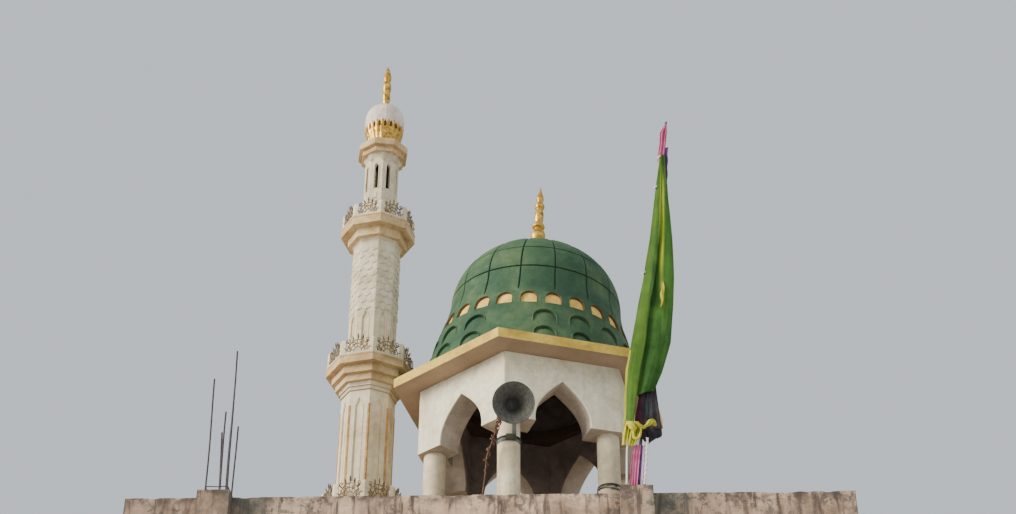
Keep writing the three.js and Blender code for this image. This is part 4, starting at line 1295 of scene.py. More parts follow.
def make_cap(green, shadow, inner_shade):
    """The round cap, cut by upright and level grooves whose faces take the painted groove shadow, with an
    inner face painted dark as shade.
    """
    azimuths = [360.0 * k / GROOVE_COUNT + GROOVE_AZIMUTH + step for k in range(GROOVE_COUNT)
                for step in GROOVE_STEPS]
    columns = len(azimuths)
    heights = marked_heights(CAP_FOOT, CAP_SPREAD_TOP, GROOVE_HEIGHTS, GROOVE_ROWS, CAP_ROW) + CAP_CROWN
    centre = Vector((KIOSK_X, KIOSK_Y, EAVE_TOP + CAP_CENTRE))
    points = []
    for height in heights:
        for azimuth in azimuths:
            point = dome_spot(height, azimuth, -cap_depth(height, azimuth))
            swell = noise.noise(point * 2.4) * 0.004 * min(1.0, (height - CAP_FOOT) / 0.1)
            points.append(point + (point - centre).normalized() * swell)
    shape = Shape((points, grid_faces(len(heights), columns, wrap=True)))
    for index, face in enumerate(shape.faces):
        row = face[0] // columns
        middle = (heights[row] + heights[row + 1]) / 2
        upright = face[0] % len(GROOVE_STEPS) in (1, 2, 3, 4) and GROOVE_FOOT < middle < GROOVE_TOP
        if upright or any(abs(middle - groove) < 0.0062 for groove in GROOVE_HEIGHTS):
            shape.kinds[index] = 1
    rings = [(SHELL_INNER, EAVE_TOP + CAP_FOOT)]
    for k in range(9):
        angle = math.radians(90.0 * k / 8)
        radius = SHELL_INNER * math.cos(angle) if k < 8 else 0.0
        rings.append((radius, EAVE_TOP + CAP_CENTRE + SHELL_HEIGHT * math.sin(angle)))
    inner = [dome_spot(CAP_FOOT, azimuth) for azimuth in azimuths]
    inner += [polar(radius, azimuth, height, KIOSK) for radius, height in rings for azimuth in azimuths]
    shape.add((inner, grid_faces(len(rings) + 1, columns, wrap=True)), 2)
    materials = [green, shadow, inner_shade]
    make_piece("dome_cap", shape.moved(leaned), materials, ["dome_shell"], smooth=32)


def arch_ring(half, foot, spring, rise):
    """Outline of a round-headed shape: foot, right side, head, left side, as (x, height) pairs."""
    flat, side, head = CELL_COUNTS
    ring = [(-half + 2 * half * k / flat, foot) for k in range(flat)]
    ring += [(half, foot + (spring - foot) * k / side) for k in range(side)]
    for k in range(head):
        angle = math.pi * k / head
        ring.append((half * math.cos(angle), spring + rise * math.sin(angle)))
    ring += [(-half, spring - (spring - foot) * k / side) for k in range(side)]
    return ring


def cell_ring(half, low, high):
    """The cell's own border, point for point with arch_ring."""
    flat, side, head = CELL_COUNTS
    ring = [(-half + 2 * half * k / flat, low) for k in range(flat)]
    lower = low + (high - low) * 0.55
    ring += [(half, low + (lower - low) * k / side) for k in range(side)]
    corner = head // 4
    for k in range(head):
        if k <= corner:
            ring.append((half, lower + (high - lower) * k / corner))
        elif k <= head - corner:
            ring.append((half - 2 * half * (k - corner) / (head - 2 * corner), high))
        else:
            ring.append((-half, high - (high - lower) * (k - head + corner) / corner))
    ring += [(-half, lower - (lower - low) * k / side) for k in range(side)]
    return ring


def cell_rings(half_cell, levels, arch, depth_at, lip_at):
    """Rings of (x, height, out) points from a cell's border to its arch and on to its middle."""
    inside = arch_ring(*arch)
    pairs = list(zip(cell_ring(half_cell, *levels), inside))
    centre = (arch[1] + arch[2] + arch[3]) / 2
    rings = []
    for share, lip in ((0.0, 0.0), (0.45, 0.0), (0.88, 0.0), (0.95, 1.0), (1.0, 1.0)):
        rings.append([(bx + (ax - bx) * share, bz + (az - bz) * share, lip_at(az) * lip)
                      for (bx, bz), (ax, az) in pairs])
    for share in (0.97, 0.7, 0.35, 0.0):
        ring = [(ax * share, centre + (az - centre) * share) for ax, az in inside]
        rings.append([(x, z, -depth_at(x, z)) for x, z in ring])
    return rings


def carved_cell(shape, azimuth, half_cell, middle, levels, arch, depth_at, lip_at, kinds):
    """One cell of a band round the dome, with an arch sunk into it, closed behind. Sideways measures become
    angles, so that neighbouring cells meet exactly. Kinds are those of the floor, the edge and the back."""
    flat, side, head = CELL_COUNTS
    floor, edge, behind = kinds
    rings = cell_rings(half_cell, levels, arch, depth_at, lip_at)
    count = len(rings[0])
    start = len(shape.points)
    for ring in rings:
        for x, z, out in ring:
            shape.points.append(dome_spot(z, azimuth + math.degrees(x / middle), out))
    for face in grid_faces(len(rings), count, wrap=True):
        level = face[0] // count
        shape.faces.append([start + i for i in face])
        shape.kinds.append(0 if level < 4 else (edge if level == 4 else floor))
    back = len(shape.points)
    for z in levels:
        for k in range(flat + 1):
            turn = azimuth + math.degrees((2 * k / flat - 1) * half_cell / middle)
            shape.points.append(polar(SHELL_INNER, turn, EAVE_TOP + z, KIOSK))
    corner = flat + side + head // 4
    for k in range(flat):
        top = start + corner + flat - k
        upper = back + flat + k + 1
        shape.faces.append([start + k, start + k + 1, back + k + 1, back + k])
        shape.faces.append([top, top - 1, upper + 1, upper])
        shape.faces.append([back + k, back + k + 1, upper + 1, upper])
        shape.kinds += [0, 0, behind]


def make_niche_band(green, ochre, brown):
    """A ring of round-headed niches, ochre inside, their side walls painted dark brown as shade."""
    shape = Shape()
    middle = radius_at(NICHE_MIDDLE)
    half_cell = math.radians(180.0 / NICHE_COUNT) * middle
    arch = (NICHE_HALF, NICHE_LOW, NICHE_HIGH - NICHE_HEAD, NICHE_HEAD)
    for k in range(NICHE_COUNT):
        azimuth = NICHE_AZIMUTH + 360.0 * k / NICHE_COUNT
        carved_cell(shape, azimuth, half_cell, middle, NICHE_BAND, arch,
                    lambda x, z: NICHE_DEPTH, lambda z: NICHE_LIP, (1, 2, 0))
    make_piece("dome_niche_band", shape.moved(leaned), [green, ochre, brown], smooth=32)


def make_petal_band(name, green, inner_shade, levels, arch):
    """A ring of raised petals: deep under the arch, running out flush at the foot. One petal is missing."""
    shape = Shape()
    half, foot, spring, rise = arch
    top = spring + rise
    middle = radius_at((foot + top) / 2)
    half_cell = math.radians(180.0 / PETAL_COUNT) * middle

    def depth_at(x, z):
        around = math.hypot(x / half, (z - spring) / rise) if z > spring else abs(x) / half
        share = max(0.0, (z - foot) / (top - foot))
        return PETAL_DEPTH * share ** 0.8 * min(1.0, around) ** 2

    def lip_at(z):
        return PETAL_LIP * min(1.0, max(0.0, (z - foot) / (top - foot)) * 1.6)

    # Each cell's back face, inside the dome, is painted dark as shade
    for k in range(PETAL_COUNT):
        azimuth = PETAL_AZIMUTH + 360.0 * k / PETAL_COUNT
        if k == MISSING_PETAL:
            forms = (lambda x, z: 0.0, lambda z: 0.0)
        else:
            forms = (depth_at, lip_at)
        carved_cell(shape, azimuth, half_cell, middle, levels, arch, *forms, (0, 0, 1))
    make_piece(name, shape.moved(leaned), [green, inner_shade], smooth=32)


def make_skirt_foot(green):
    heights = [SKIRT_FOOT_TOP * k / 7 for k in range(8)]
    profile = [(radius_at(height), height) for height in heights]
    profile += [(SHELL_INNER, SKIRT_FOOT_TOP), (SHELL_INNER, 0.0)]
    shape = Shape(lathe(profile, 128, (KIOSK_X, KIOSK_Y, EAVE_TOP), closed=True))
    make_piece("dome_skirt_foot", shape.moved(leaned), [green], smooth=32)


def make_dome(green, shadow, ochre, brown, inner_shade):
    make_cap(green, shadow, inner_shade)
    make_niche_band(green, ochre, brown)
    make_petal_band("dome_upper_petals", green, inner_shade, *UPPER_PETALS)
    make_petal_band("dome_lower_petals", green, inner_shade, *LOWER_PETALS)
    make_skirt_foot(green)


def turned_finial(name, profile, centre, gold, move=None):
    """A gilded spindle in place of a node, from a profile of heights and radii."""
    run = smooth_pairs([(radius, height) for height, radius in profile], 4)
    pairs = [(max(0.001, radius), height) for radius, height in run]
    shape = Shape(lathe([(0.0, profile[0][0])] + pairs + [(0.0, profile[-1][0])], 40, centre))
    if move is not None:
        shape.moved(move)
    make_piece(name + "_turned", shape, [gold], [name], smooth=50)


def make_dome_finial(gold):
    """A low disc, neck, ball, rings and a long bulb, leaning with the dome."""
    centre = (KIOSK_X + FINIAL_SHIFT, KIOSK_Y, EAVE_TOP + CAP_CENTRE + CAP_HEIGHT)
    turned_finial("dome_finial", DOME_FINIAL, centre, gold, leaned)


# Minaret
def beside(normal):
    """The level direction to the right of someone who faces a side with this normal."""
    return Vector((-normal.y, normal.x, 0.0))


def corner_section(radius, azimuth, wing, proud, sink):
    """Outline of a strip folded round one corner of the eight-sided shaft."""
    corner = polar(radius, azimuth, 0.0, MINARET)
    outward = polar(1.0, azimuth)
    mitre = math.cos(math.radians(EIGHTH / 2))
    left = polar(1.0, azimuth - EIGHTH / 2)
    right = polar(1.0, azimuth + EIGHTH / 2)
    left_edge = corner - beside(left) * wing
    right_edge = corner + beside(right) * wing
    section = [
        left_edge - left * sink,
        left_edge + left * proud,
        corner + outward * (proud / mitre),
        right_edge + right * proud,
        right_edge - right * sink,
        corner - outward * (sink / mitre),
    ]
    return [(point.x, point.y) for point in section]


def make_corner_strips(trim):
    shape = Shape()
    for azimuth in MINARET_CORNERS:
        section = corner_section(LOWER_RADIUS, azimuth, STRIP_WING, STRIP_PROUD, STRIP_PROUD)
        shape.add(prism([(STRIP_FOOT, section), (STRIP_TOP, section)]))
    make_piece("minaret_lower_corner_strips", shape, [trim], smooth=0, bevel=0.002)


def on_face(azimuth, radius, along, out, z):
    """A point on one face of an eight-sided shaft: azimuth is the face's, along runs to the right."""
    normal = polar(1.0, azimuth)
    apothem = radius * math.cos(math.radians(EIGHTH / 2))
    point = normal * (apothem + out) + beside(normal) * along
    return Vector((MINARET_X + point.x, MINARET_Y + point.y, z))


def across_face(azimuth, radius, width):
    return on_face(azimuth, radius, width, 0.0, 0.0) - on_face(azimuth, radius, 0.0, 0.0, 0.0)


def make_lancet_trims(name, material):
    """A thin raised border round the recess of each face, pointed at its head."""
    radius, low, high, half = LANCETS[name]
    spots = ((1.0, low), (1.0, high - half * 2.4), (0.55, high - half * 0.9), (0.0, high))
    shape = Shape()
    for azimuth in MINARET_FACES:
        side = across_face(azimuth, radius, 0.003)
        for sign in (-1, 1):
            path = [on_face(azimuth, radius, sign * half * share, 0.001, z) for share, z in spots]
            shape.add(strip(path, [side] * 4, 0.006))
    make_piece(name, shape, [material], smooth=0)


def scale_form(azimuth, at_corner, shift, z_top):
    """One rounded scale: bent round a corner or flat on a face, its lower lip standing proud."""
    columns, rows = 9, 7
    half_side = MIDDLE_RADIUS * math.sin(math.radians(EIGHTH / 2))
    half = 2 * half_side * SCALE_HALF_SHARE

    def spot(along, out, z):
        if at_corner:
            sign = 1 if along >= 0 else -1
            return on_face(azimuth + sign * EIGHTH / 2, MIDDLE_RADIUS, along - sign * half_side, out, z)
        return on_face(azimuth, MIDDLE_RADIUS, along + shift, out, z)

    points = []
    for row in range(rows + 1):
        v = row / rows
        wide = half * math.sqrt(max(0.0, 1.0 - max(0.0, (v - 0.45) / 0.55) ** 2.4))
        z = z_top - v * SCALE_LENGTH
        points.append(spot(-wide, -0.004, z))
        for column in range(columns):
            u = -1 + 2 * column / (columns - 1)
            points.append(spot(u * wide, 0.001 + SCALE_LIFT * v * (1.0 - 0.45 * u * u), z))
        points.append(spot(wide, -0.004, z))
    across = columns + 2
    faces = grid_faces(rows + 1, across)
    left = [row * across for row in range(rows + 1)]
    right = [row * across + across - 1 for row in range(rows, -1, -1)]
    faces.append(left + right)
    faces.append(list(range(across))[::-1])
    return points, faces


def make_scales(material):
    """Staggered rows of rounded scales under the upper balcony: two to a face, and between them one on the
    corner and one in the middle."""
    shape = Shape()
    side = 2 * MIDDLE_RADIUS * math.sin(math.radians(EIGHTH / 2))
    for row in range(SCALE_ROWS):
        z_top = SCALE_FOOT + SCALE_PITCH * (row + 0.45)
        for corner in MINARET_CORNERS:
            face = corner + EIGHTH / 2
            if row % 2 == 0:
                spots = ((corner, True, 0.0), (face, False, 0.0))
            else:
                spots = ((face, False, -side / 4), (face, False, side / 4))
            for azimuth, at_corner, shift in spots:
                shape.add(scale_form(azimuth, at_corner, shift, z_top))
    make_piece("minaret_scales", shape, [material], smooth=45)


def spiral(x, z, radius, start, turns):
    run = []
    for k in range(17):
        t = k / 16
        angle = math.radians(start) + turns * 2 * math.pi * t
        reach = radius * (1 - 0.78 * t)
        run.append((x + reach * math.cos(angle), z + reach * math.sin(angle)))
    return run


def fret_curves(half, height):
    """Fan-shaped openwork of one railing panel, as runs of (x, z) points: arcs, ribs and curls."""
    curves = []
    for share in FRET_ARCS:
        arc = [math.radians(180.0 * k / 16) for k in range(17)]
        wide, tall = half * share, height * 0.86 * share
        curves.append([(wide * math.cos(a), 0.012 + tall * math.sin(a)) for a in arc])
    for angle in FRET_RIBS:
        a = math.radians(angle)
        near = (half * 0.34 * math.cos(a), 0.012 + height * 0.29 * math.sin(a))
        far = (half * 0.98 * math.cos(a), 0.012 + height * 0.92 * math.sin(a))
        bow = (half * 0.66 * math.cos(a + 0.12), height * 0.62 * math.sin(a + 0.12))
        curves.append(smooth_pairs([near, bow, far], 5))
    for sign in (-1, 1):
        curves.append(spiral(sign * half * 0.66, height * 0.24, half * 0.24, 90, -sign * 1.3))
        curves.append(spiral(sign * half * 0.30, height * 0.60, half * 0.20, 270 - sign * 20, sign * 1.2))
        curves.append(spiral(sign * half * 0.80, height * 0.80, half * 0.22, 270, sign * 1.1))
    return curves


def fret_leaf(half, height, angle, reach, lean):
    """One pointed leaf that stands out over the fan, as (x, out, z) points."""
    a = math.radians(angle)
    foot = (half * 0.86 * math.cos(a), height * 0.82 * math.sin(a) + 0.01)
    tip = (half * reach * math.cos(a), height * reach * 0.92 * math.sin(a) + 0.012)
    return [(foot[0] + (tip[0] - foot[0]) * t, lean * t * t, foot[1] + (tip[1] - foot[1]) * t)
            for t in (0.0, 0.25, 0.5, 0.75, 1.0)]


def post_form(radius, azimuth, z0, tall):
    """A folded corner post with a rounded head."""
    section = corner_section(radius, azimuth, POST_WING, 0.0, 0.018)
    mx = sum(x for x, y in section) / len(section)
    my = sum(y for x, y in section) / len(section)
    levels = [(z0, section), (z0 + tall, section)]
    for rise, share in ((0.011, 0.86), (0.019, 0.6), (0.024, 0.25)):
        ring = [(mx + (x - mx) * share, my + (y - my) * share) for x, y in section]
        levels.append((z0 + tall + rise, ring))
    return prism(levels)


def eight_ring(radius, z, tall, deep=0.02, azimuth=MINARET_AZIMUTH):
    """A level ring round the eight-sided shaft."""
    ring = [(radius - deep, z), (radius, z), (radius, z + tall), (radius - deep, z + tall)]
    return lathe(ring, 8, MINARET_AXIS, azimuth, closed=True)


def make_railing(node, paint, iron):
    """Folded corner posts, a foot rail and a fan of curled ironwork between the posts."""
    radius, z0, height = RAILINGS[node]
    posts = Shape()
    for k, azimuth in enumerate(MINARET_CORNERS):
        posts.add(post_form(radius, azimuth, z0, height * (0.90 + 0.05 * math.sin(k * 2.4))))
    posts.add(eight_ring(radius + 0.004, z0, 0.022, 0.034))
    make_piece(node + "_posts", posts, [paint], [node], smooth=30, bevel=0.003)
    fret = Shape()
    half_side = radius * math.sin(math.radians(EIGHTH / 2)) - POST_WING
    curves = fret_curves(half_side, height)
    leaves = [fret_leaf(half_side, height, *leaf) for leaf in FRET_LEAVES]
    for azimuth in MINARET_FACES:
        for curve in curves:
            path = [on_face(azimuth, radius, x, -0.012, z0 + 0.018 + z) for x, z in curve]
            fret.add(tube(path, FRET_WIRE, 6))
        for leaf in leaves:
            path = [on_face(azimuth, radius, x, -0.012 + out, z0 + 0.018 + z) for x, out, z in leaf]
            fret.add(tube(path, (0.004, 0.011, 0.013, 0.008, 0.001), 6, 0.4))
    make_piece(node + "_openwork", fret, [iron], smooth=60)


def ball_relief(z, column, azimuth):
    """How far a point of the bulb stands out, and its paint: 0 for pearl, 1 for gold, 2 for the dark painted
    shade of the gaps.
    """
    phase = abs((column % BALL_CELL_COLUMNS) / BALL_CELL_COLUMNS * 2 - 1)
    out = 0.0
    mark = 0
    if z < LEAF_TIP:
        share = max(0.0, (z - LEAF_FOOT) / (LEAF_TIP - LEAF_FOOT))
        leaf = 0.98 * math.sqrt(max(0.0, 1.0 - share ** 3.0))
        out = 0.007 * max(0.0, 1.0 - (phase / max(0.05, leaf)) ** 2)
        mark = 1 if phase < leaf or share < 0.72 else 0
    rise = (z - BALL_NICHE_LOW) / (BALL_NICHE_HIGH - BALL_NICHE_LOW)
    if 0.0 < rise < 1.0 and phase > 1.0 - 0.46 * math.sin(math.pi * (0.25 + 0.75 * rise)):
        out = -0.012
        mark = 2
    if z > LEAF_TIP:
        rib = abs((azimuth + EIGHTH / 2) % EIGHTH - EIGHTH / 2)
        out = 0.004 * max(0.0, 1.0 - rib / 2.6)
    return out, mark


def make_ball_dome(pearl, gold, dark):
    """Small bulb dome: pale ribbed top, gilded petals at its foot with a pointed gap over each joint, painted
    dark as shade.
    """
    columns = BALL_CELLS * BALL_CELL_COLUMNS
    outline = smooth_pairs(BALL_OUTLINE, 8)
    points = []
    marks = []
    for radius, z in outline:
        for column in range(columns):
            azimuth = 360.0 * column / columns
            out, mark = ball_relief(z, column, azimuth)
            points.append(polar(radius + out, MINARET_AZIMUTH + azimuth, z, MINARET))
            marks.append(mark)
    shape = Shape((points, grid_faces(len(outline), columns, wrap=True)))
    for index, face in enumerate(shape.faces):
        near = sorted(marks[i] for i in face)
        shape.kinds[index] = 2 if near[1] == 2 else (1 if near[2] >= 1 else 0)
    fan = [[k, (k + 1) % columns, columns] for k in range(columns)]
    shape.add((points[:columns] + [Vector((*MINARET, CROWN_TOP))], fan), 1)
    shape.add((points[-columns:] + [Vector((*MINARET, BALL_TOP))], fan), 0)
    materials = [pearl, gold, dark]
    make_piece("minaret_ball_dome_petals", shape, materials, ["minaret_ball_dome"])


def make_lantern_trims(paint):
    """Pointed surrounds of the slits, a small raised panel under each, and a worn rosette on each corner."""
    shape = Shape()
    bead = [(0.0, -0.008), (0.008, -0.004), (0.010, 0.0), (0.008, 0.004), (0.0, 0.008)]
    surround = [(SLIT_HALF, 0.0)]
    surround += [(x, SLIT_JAMB + z) for x, z in pointed_head(SLIT_HALF, SLIT_HEAD, 6)]
    for azimuth in MINARET_FACES:
        level = across_face(azimuth, LANTERN_RADIUS, 1.0)
        for sign in (-1, 1):
            path = [on_face(azimuth, LANTERN_RADIUS, sign * x, 0.001, SLIT_FOOT + z) for x, z in surround]
            shape.add(strip(path, [level * 0.0045] * len(path), 0.008))
        heights = (UPPER_DECK + 0.38, UPPER_DECK + 0.455)
        path = [on_face(azimuth, LANTERN_RADIUS, 0.0, 0.002, z) for z in heights]
        shape.add(strip(path, [level * 0.018] * 2, 0.009))
        corner = polar(LANTERN_RADIUS - 0.004, azimuth - EIGHTH / 2, LANTERN_TOP - 0.075, MINARET)
        for petal in range(6):
            turn = math.radians(60.0 * petal)
            lift = Vector((0.0, 0.0, 0.017 * math.sin(turn)))
            side = polar(0.017 * math.cos(turn), azimuth - EIGHTH / 2 + 90.0)
            shape.add(lathe(bead, 8, corner + lift + side))
    make_piece("minaret_lantern_trims", shape, [paint], smooth=30)


def make_newel(dark):
    """The round post in the middle of the lantern, painted near black as the shade behind the slits."""
    low, high = UPPER_DECK + 0.03, LANTERN_TOP - 0.02
    profile = [(0.0, low)] + [(NEWEL_RADIUS, z) for z in (low, low + 0.2, high - 0.2, high)] + [(0.0, high)]
    shape = Shape(lathe(profile, 24, MINARET_AXIS))
    make_piece("minaret_lantern_newel", shape, [dark], smooth=40)


def make_neck_bands(paint, cornice):
    """Thin level mouldings: cream under the cornices, ochre along the decks' edges and round the crown."""
    necks = Shape(
        eight_ring(LOWER_NECK - 0.006, LOWER_TOP - 0.045, 0.007),
        eight_ring(LOWER_NECK - 0.021, LOWER_TOP - 0.085, 0.006),
        eight_ring(MIDDLE_RADIUS + 0.014, MIDDLE_TOP - 0.03, 0.008))
    make_piece("minaret_neck_bands", necks, [paint], smooth=0)
    decks = Shape(
        eight_ring(LOWER_DECK_RADIUS + 0.004, LOWER_DECK - 0.02, 0.0195),
        eight_ring(UPPER_DECK_RADIUS + 0.004, UPPER_DECK - 0.018, 0.0175))
    make_piece("minaret_deck_edges", decks, [cornice], smooth=0)
    crown = Shape(eight_ring(CROWN_RADIUS + 0.002, CROWN_TOP - 0.088, 0.085, 0.022, CROWN_AZIMUTH))
    make_piece("minaret_crown_fascia", crown, [cornice], smooth=0)


def make_minaret(paint, iron, gold, pearl, dark):
    cornice = plain_plaster("cornice_paint", 5.0)
    scale_paint = plain_plaster("scale_paint", 5.0)
    for name in ("pedestal", "base_slab", "lower_shaft", "middle_shaft"):
        dress("minaret_" + name, paint, PAINT_BEVEL)
    dress("minaret_lantern", scale_paint, PAINT_BEVEL)
    for name in ("lower_cornice", "upper_cornice", "crown"):
        dress("minaret_" + name, cornice, PAINT_BEVEL)
    make_corner_strips(plain_plaster("trim_paint", 9.0))
    for name in LANCETS:
        make_lancet_trims(name, paint)
    make_neck_bands(paint, cornice)
    make_scales(scale_paint)
    for name in RAILINGS:
        make_railing(name, paint, iron)
    make_lantern_trims(paint)
    make_newel(plain_plaster("newel_shade"))
    make_ball_dome(pearl, gold, dark)
    turned_finial("minaret_finial", MINARET_FINIAL, (*MINARET, BALL_TOP), gold)


# Horn speaker
def horn_matrix():
    matrix = Matrix.Translation(Vector(HORN_MOUTH))
    matrix = matrix @ Matrix.Rotation(math.radians(HORN_TURN), 4, "Z")
    matrix = matrix @ Matrix.Rotation(math.radians(HORN_TILT), 4, "X")
    return matrix @ Matrix.Rotation(math.radians(-90), 4, "X")


def make_horn(metal, inside_shade):
    """A flared bell with a rolled rim, painted dark inside as shade, and a ribbed driver behind."""
    depths = [BELL_START + BELL_LENGTH * (k / BELL_STEPS) for k in range(BELL_STEPS + 1)]
    inner = [(BELL_FLARE * math.exp(-depth / BELL_DECAY) + BELL_THROAT, depth) for depth in depths]
    outer = [(radius + HORN_WALL, depth) for radius, depth in inner]
    rim = []
    for k in range(9):
        angle = math.radians(-60 + 40 * k)
        radius = HORN_RADIUS - 0.002 + RIM_RADIUS * math.cos(angle)
        rim.append((radius, RIM_RADIUS - RIM_RADIUS * math.sin(angle)))
    shape = Shape(lathe(BELL_FLOOR + inner[::-1] + rim[::-1][1:] + outer + DRIVER, HORN_SIDES))
    inside = len(BELL_FLOOR) + len(inner) - 1
    shape.kinds = [1 if face[0] // HORN_SIDES < inside else 0 for face in shape.faces]
    matrix = horn_matrix()
    shape.moved(lambda point: matrix @ point)
    make_piece("horn_speaker_bell", shape, [metal, inside_shade], ["horn_speaker"], smooth=40)


def make_lashing(name, material):
    """Turns of cord lashed round a column in a band, more or less ragged, with a knot."""
    column, z, band, turns, wire, ragged = LASHINGS[name]
    seed = column + 1
    centre = column_centre(column)
    draw = random.Random(seed)
    path = []
    for k in range(int(turns * LASHING_STEPS) + 1):
        t = k / LASHING_STEPS
        wobble = ragged * noise.noise(Vector((t * 2.1, seed, 0.0)))
        reach = COLUMN_RADIUS + wire + abs(wobble) * 0.7
        spot = polar(reach, 360.0 * t + draw.random() * 1.5, 0.0, centre)
        path.append((spot.x, spot.y, z + (t / turns - 0.5) * band + wobble))
    shape = Shape(tube(path, wire, 8))
    knot = polar(COLUMN_RADIUS + wire * 2.4, 15.0 * seed, z, centre)
    for k in range(3):
        bend = []
        for j in range(9):
            a = 0.7 * j
            depth = -abs(wire * 2 * math.sin(a * 1.3))
            bend.append(knot + Vector((wire * 3 * math.cos(a + k), depth, wire * 3 * math.sin(a))))
        shape.add(tube(bend, wire * 0.9, 7))
    make_piece(name, shape, [material], smooth=60)


def curve_piece(name, path, radius, material):
    data = bpy.data.curves.new(name, "CURVE")
    data.dimensions = "3D"
    data.bevel_depth = radius
    data.bevel_resolution = 3
    data.use_fill_caps = True
    spline = data.splines.new("POLY")
    spline.points.add(len(path) - 1)
    for point, place in zip(spline.points, path):
        point.co = (place[0], place[1], place[2], 1.0)
    data.materials.append(material)
    piece = bpy.data.objects.new(name, data)
    bpy.context.collection.objects.link(piece)
    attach(piece, "root")
    return piece


def make_lead(material, bindings):
    """The loudspeaker lead, from the driver down beside the column into the conduit."""
    path = catmull(LEAD_ROUTE, 6)
    lead = curve_piece("horn_lead_cable", path, LEAD_DIAMETER / 2, material)
    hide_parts("horn_lead")


def make_lead_bindings(material):
    """Old brown strapping wound round the upper lead and the bracket in ragged turns."""
    path = catmull(LEAD_ROUTE, 10)
    shape = Shape()
    draw = random.Random(11)
    for strand in range(7):
        phase = draw.uniform(0, 6.28)
        pitch = draw.uniform(0.07, 0.15)
        reach = draw.uniform(0.012, 0.03)
        first = draw.randint(0, 10)
        last = draw.randint(34, 62)
        run = []
        travelled = 0.0
        for i in range(first, last):
            travelled += (path[i + 1] - path[i]).length
            angle = phase + travelled / pitch * 2 * math.pi
            stray = noise.noise(Vector((travelled * 9.0, strand * 4.0, 1.0))) * 0.014
            wide = reach + stray
            run.append(path[i] + Vector((wide * math.cos(angle), wide * math.sin(angle) * 0.8, stray)))
        shape.add(tube(catmull(run, 3), draw.uniform(0.0035, 0.0065), 6, draw.choice((0.45, 1.0))))
    return make_piece("lead_bindings", shape, [material], smooth=60)


def make_rope(name, path, diameter, white):
    rope = curve_piece(name, path, diameter / 2, white)


def make_ropes(white):
    """Two pale ropes from the sash down to the pier: one plain, one of two twisted strands."""
    make_rope("white_rope_plain", pole_run(PLAIN_ROPE, 6), ROPE_DIAMETER, white)
    middle = pole_run(TWISTED_ROPE, 16)
    for strand in range(2):
        path = []
        for k, point in enumerate(middle):
            angle = k * STRAND_TURN + strand * math.pi
            aside = Vector((STRAND_OFFSET * math.cos(angle), STRAND_OFFSET * math.sin(angle), 0.0))
            path.append(point + aside)
        make_rope("white_rope_strand_%d" % (strand + 1), path, STRAND_DIAMETER, white)


# Starter bars
def bar_form(number, x, row, height, lean):
    """One ribbed bar that leans and wavers a little."""
    path = []
    radii = []
    z = 0.0
    while z < height:
        bend = lean * (z / height) + 0.004 * math.sin(z * 4.0 + number)
        waver = 0.003 * math.sin(z * 3.0 + number * 2)
        path.append((LEFT_PIER_X + x + bend, FRONT + row * BAR_ROW + waver, PARAPET_TOP + z))
        rib = len(radii) % 3 == 0
        radii.append(BAR_RADIUS if rib else BAR_RADIUS * BAR_WAIST)
        z += RIB_LENGTH if rib else RIB_GAP
    return tube(path, radii, 8)


def make_starter_bars(steel):
    """Ribbed bars that lean out of the left pier, tied by one stirrup."""
    shape = Shape()
    for number, bar in enumerate(BARS):
        shape.add(bar_form(number, *bar))
    low, high = LEFT_PIER_X + BARS[0][0] - 0.002, LEFT_PIER_X + BARS[-1][0]
    near, far = FRONT - BAR_ROW, FRONT + BAR_ROW
    corners = [(low, near), (high, near), (high, far), (low, far)]
    ring = []
    for k, ((x0, y0), (x1, y1)) in enumerate(zip(corners, corners[1:] + corners[:1])):
        for t in (0.06, 0.2, 0.35, 0.5, 0.65, 0.8, 0.94):
            z = PARAPET_TOP + TIE_HEIGHT + 0.002 * math.sin(9 * t + k)
            ring.append((x0 + (x1 - x0) * t, y0 + (y1 - y0) * t, z))
    shape.add(tube(ring, TIE_RADIUS, 8, loop=True))
    make_piece("starter_bars_ribbed", shape, [steel], ["starter_bars"], smooth=60)


# Pole and cloths
def at_pole(x, y, height):
    return POLE_FOOT + POLE_TURN @ Vector((x, y, height))


def pole_vector(x, y):
    return at_pole(x, y, 0.0) - at_pole(0.0, 0.0, 0.0)


def pole_run(places, steps):
    """A smooth run through places of the pole's frame."""
    return catmull([at_pole(*place) for place in places], steps)


def make_pole(metal):
    profile = [(0.0, 0.0)]
    for k in range(POLE_ROWS + 1):
        t = k / POLE_ROWS
        joint = 0.0012 if k % 10 in (0, 1) else 0.0
        profile.append((POLE_RADIUS * (1 - 0.2 * t) - 0.0012 + joint, POLE_LENGTH * t))
    profile.append((0.0, POLE_LENGTH))
    shape = Shape(lathe(profile, 20)).moved(lambda point: at_pole(*point))
    make_piece("flagpole_round", shape, [metal], ["flagpole"], smooth=50)


def edges_at(rows, height):
    """Left and right edge of a cloth at one height, between its rows."""
    for (h0, l0, r0), (h1, l1, r1) in zip(rows, rows[1:]):
        if height <= h1:
            break
    share = min(1.0, max(0.0, (height - h0) / (h1 - h0)))
    return l0 + (l1 - l0) * share, r0 + (r1 - r0) * share


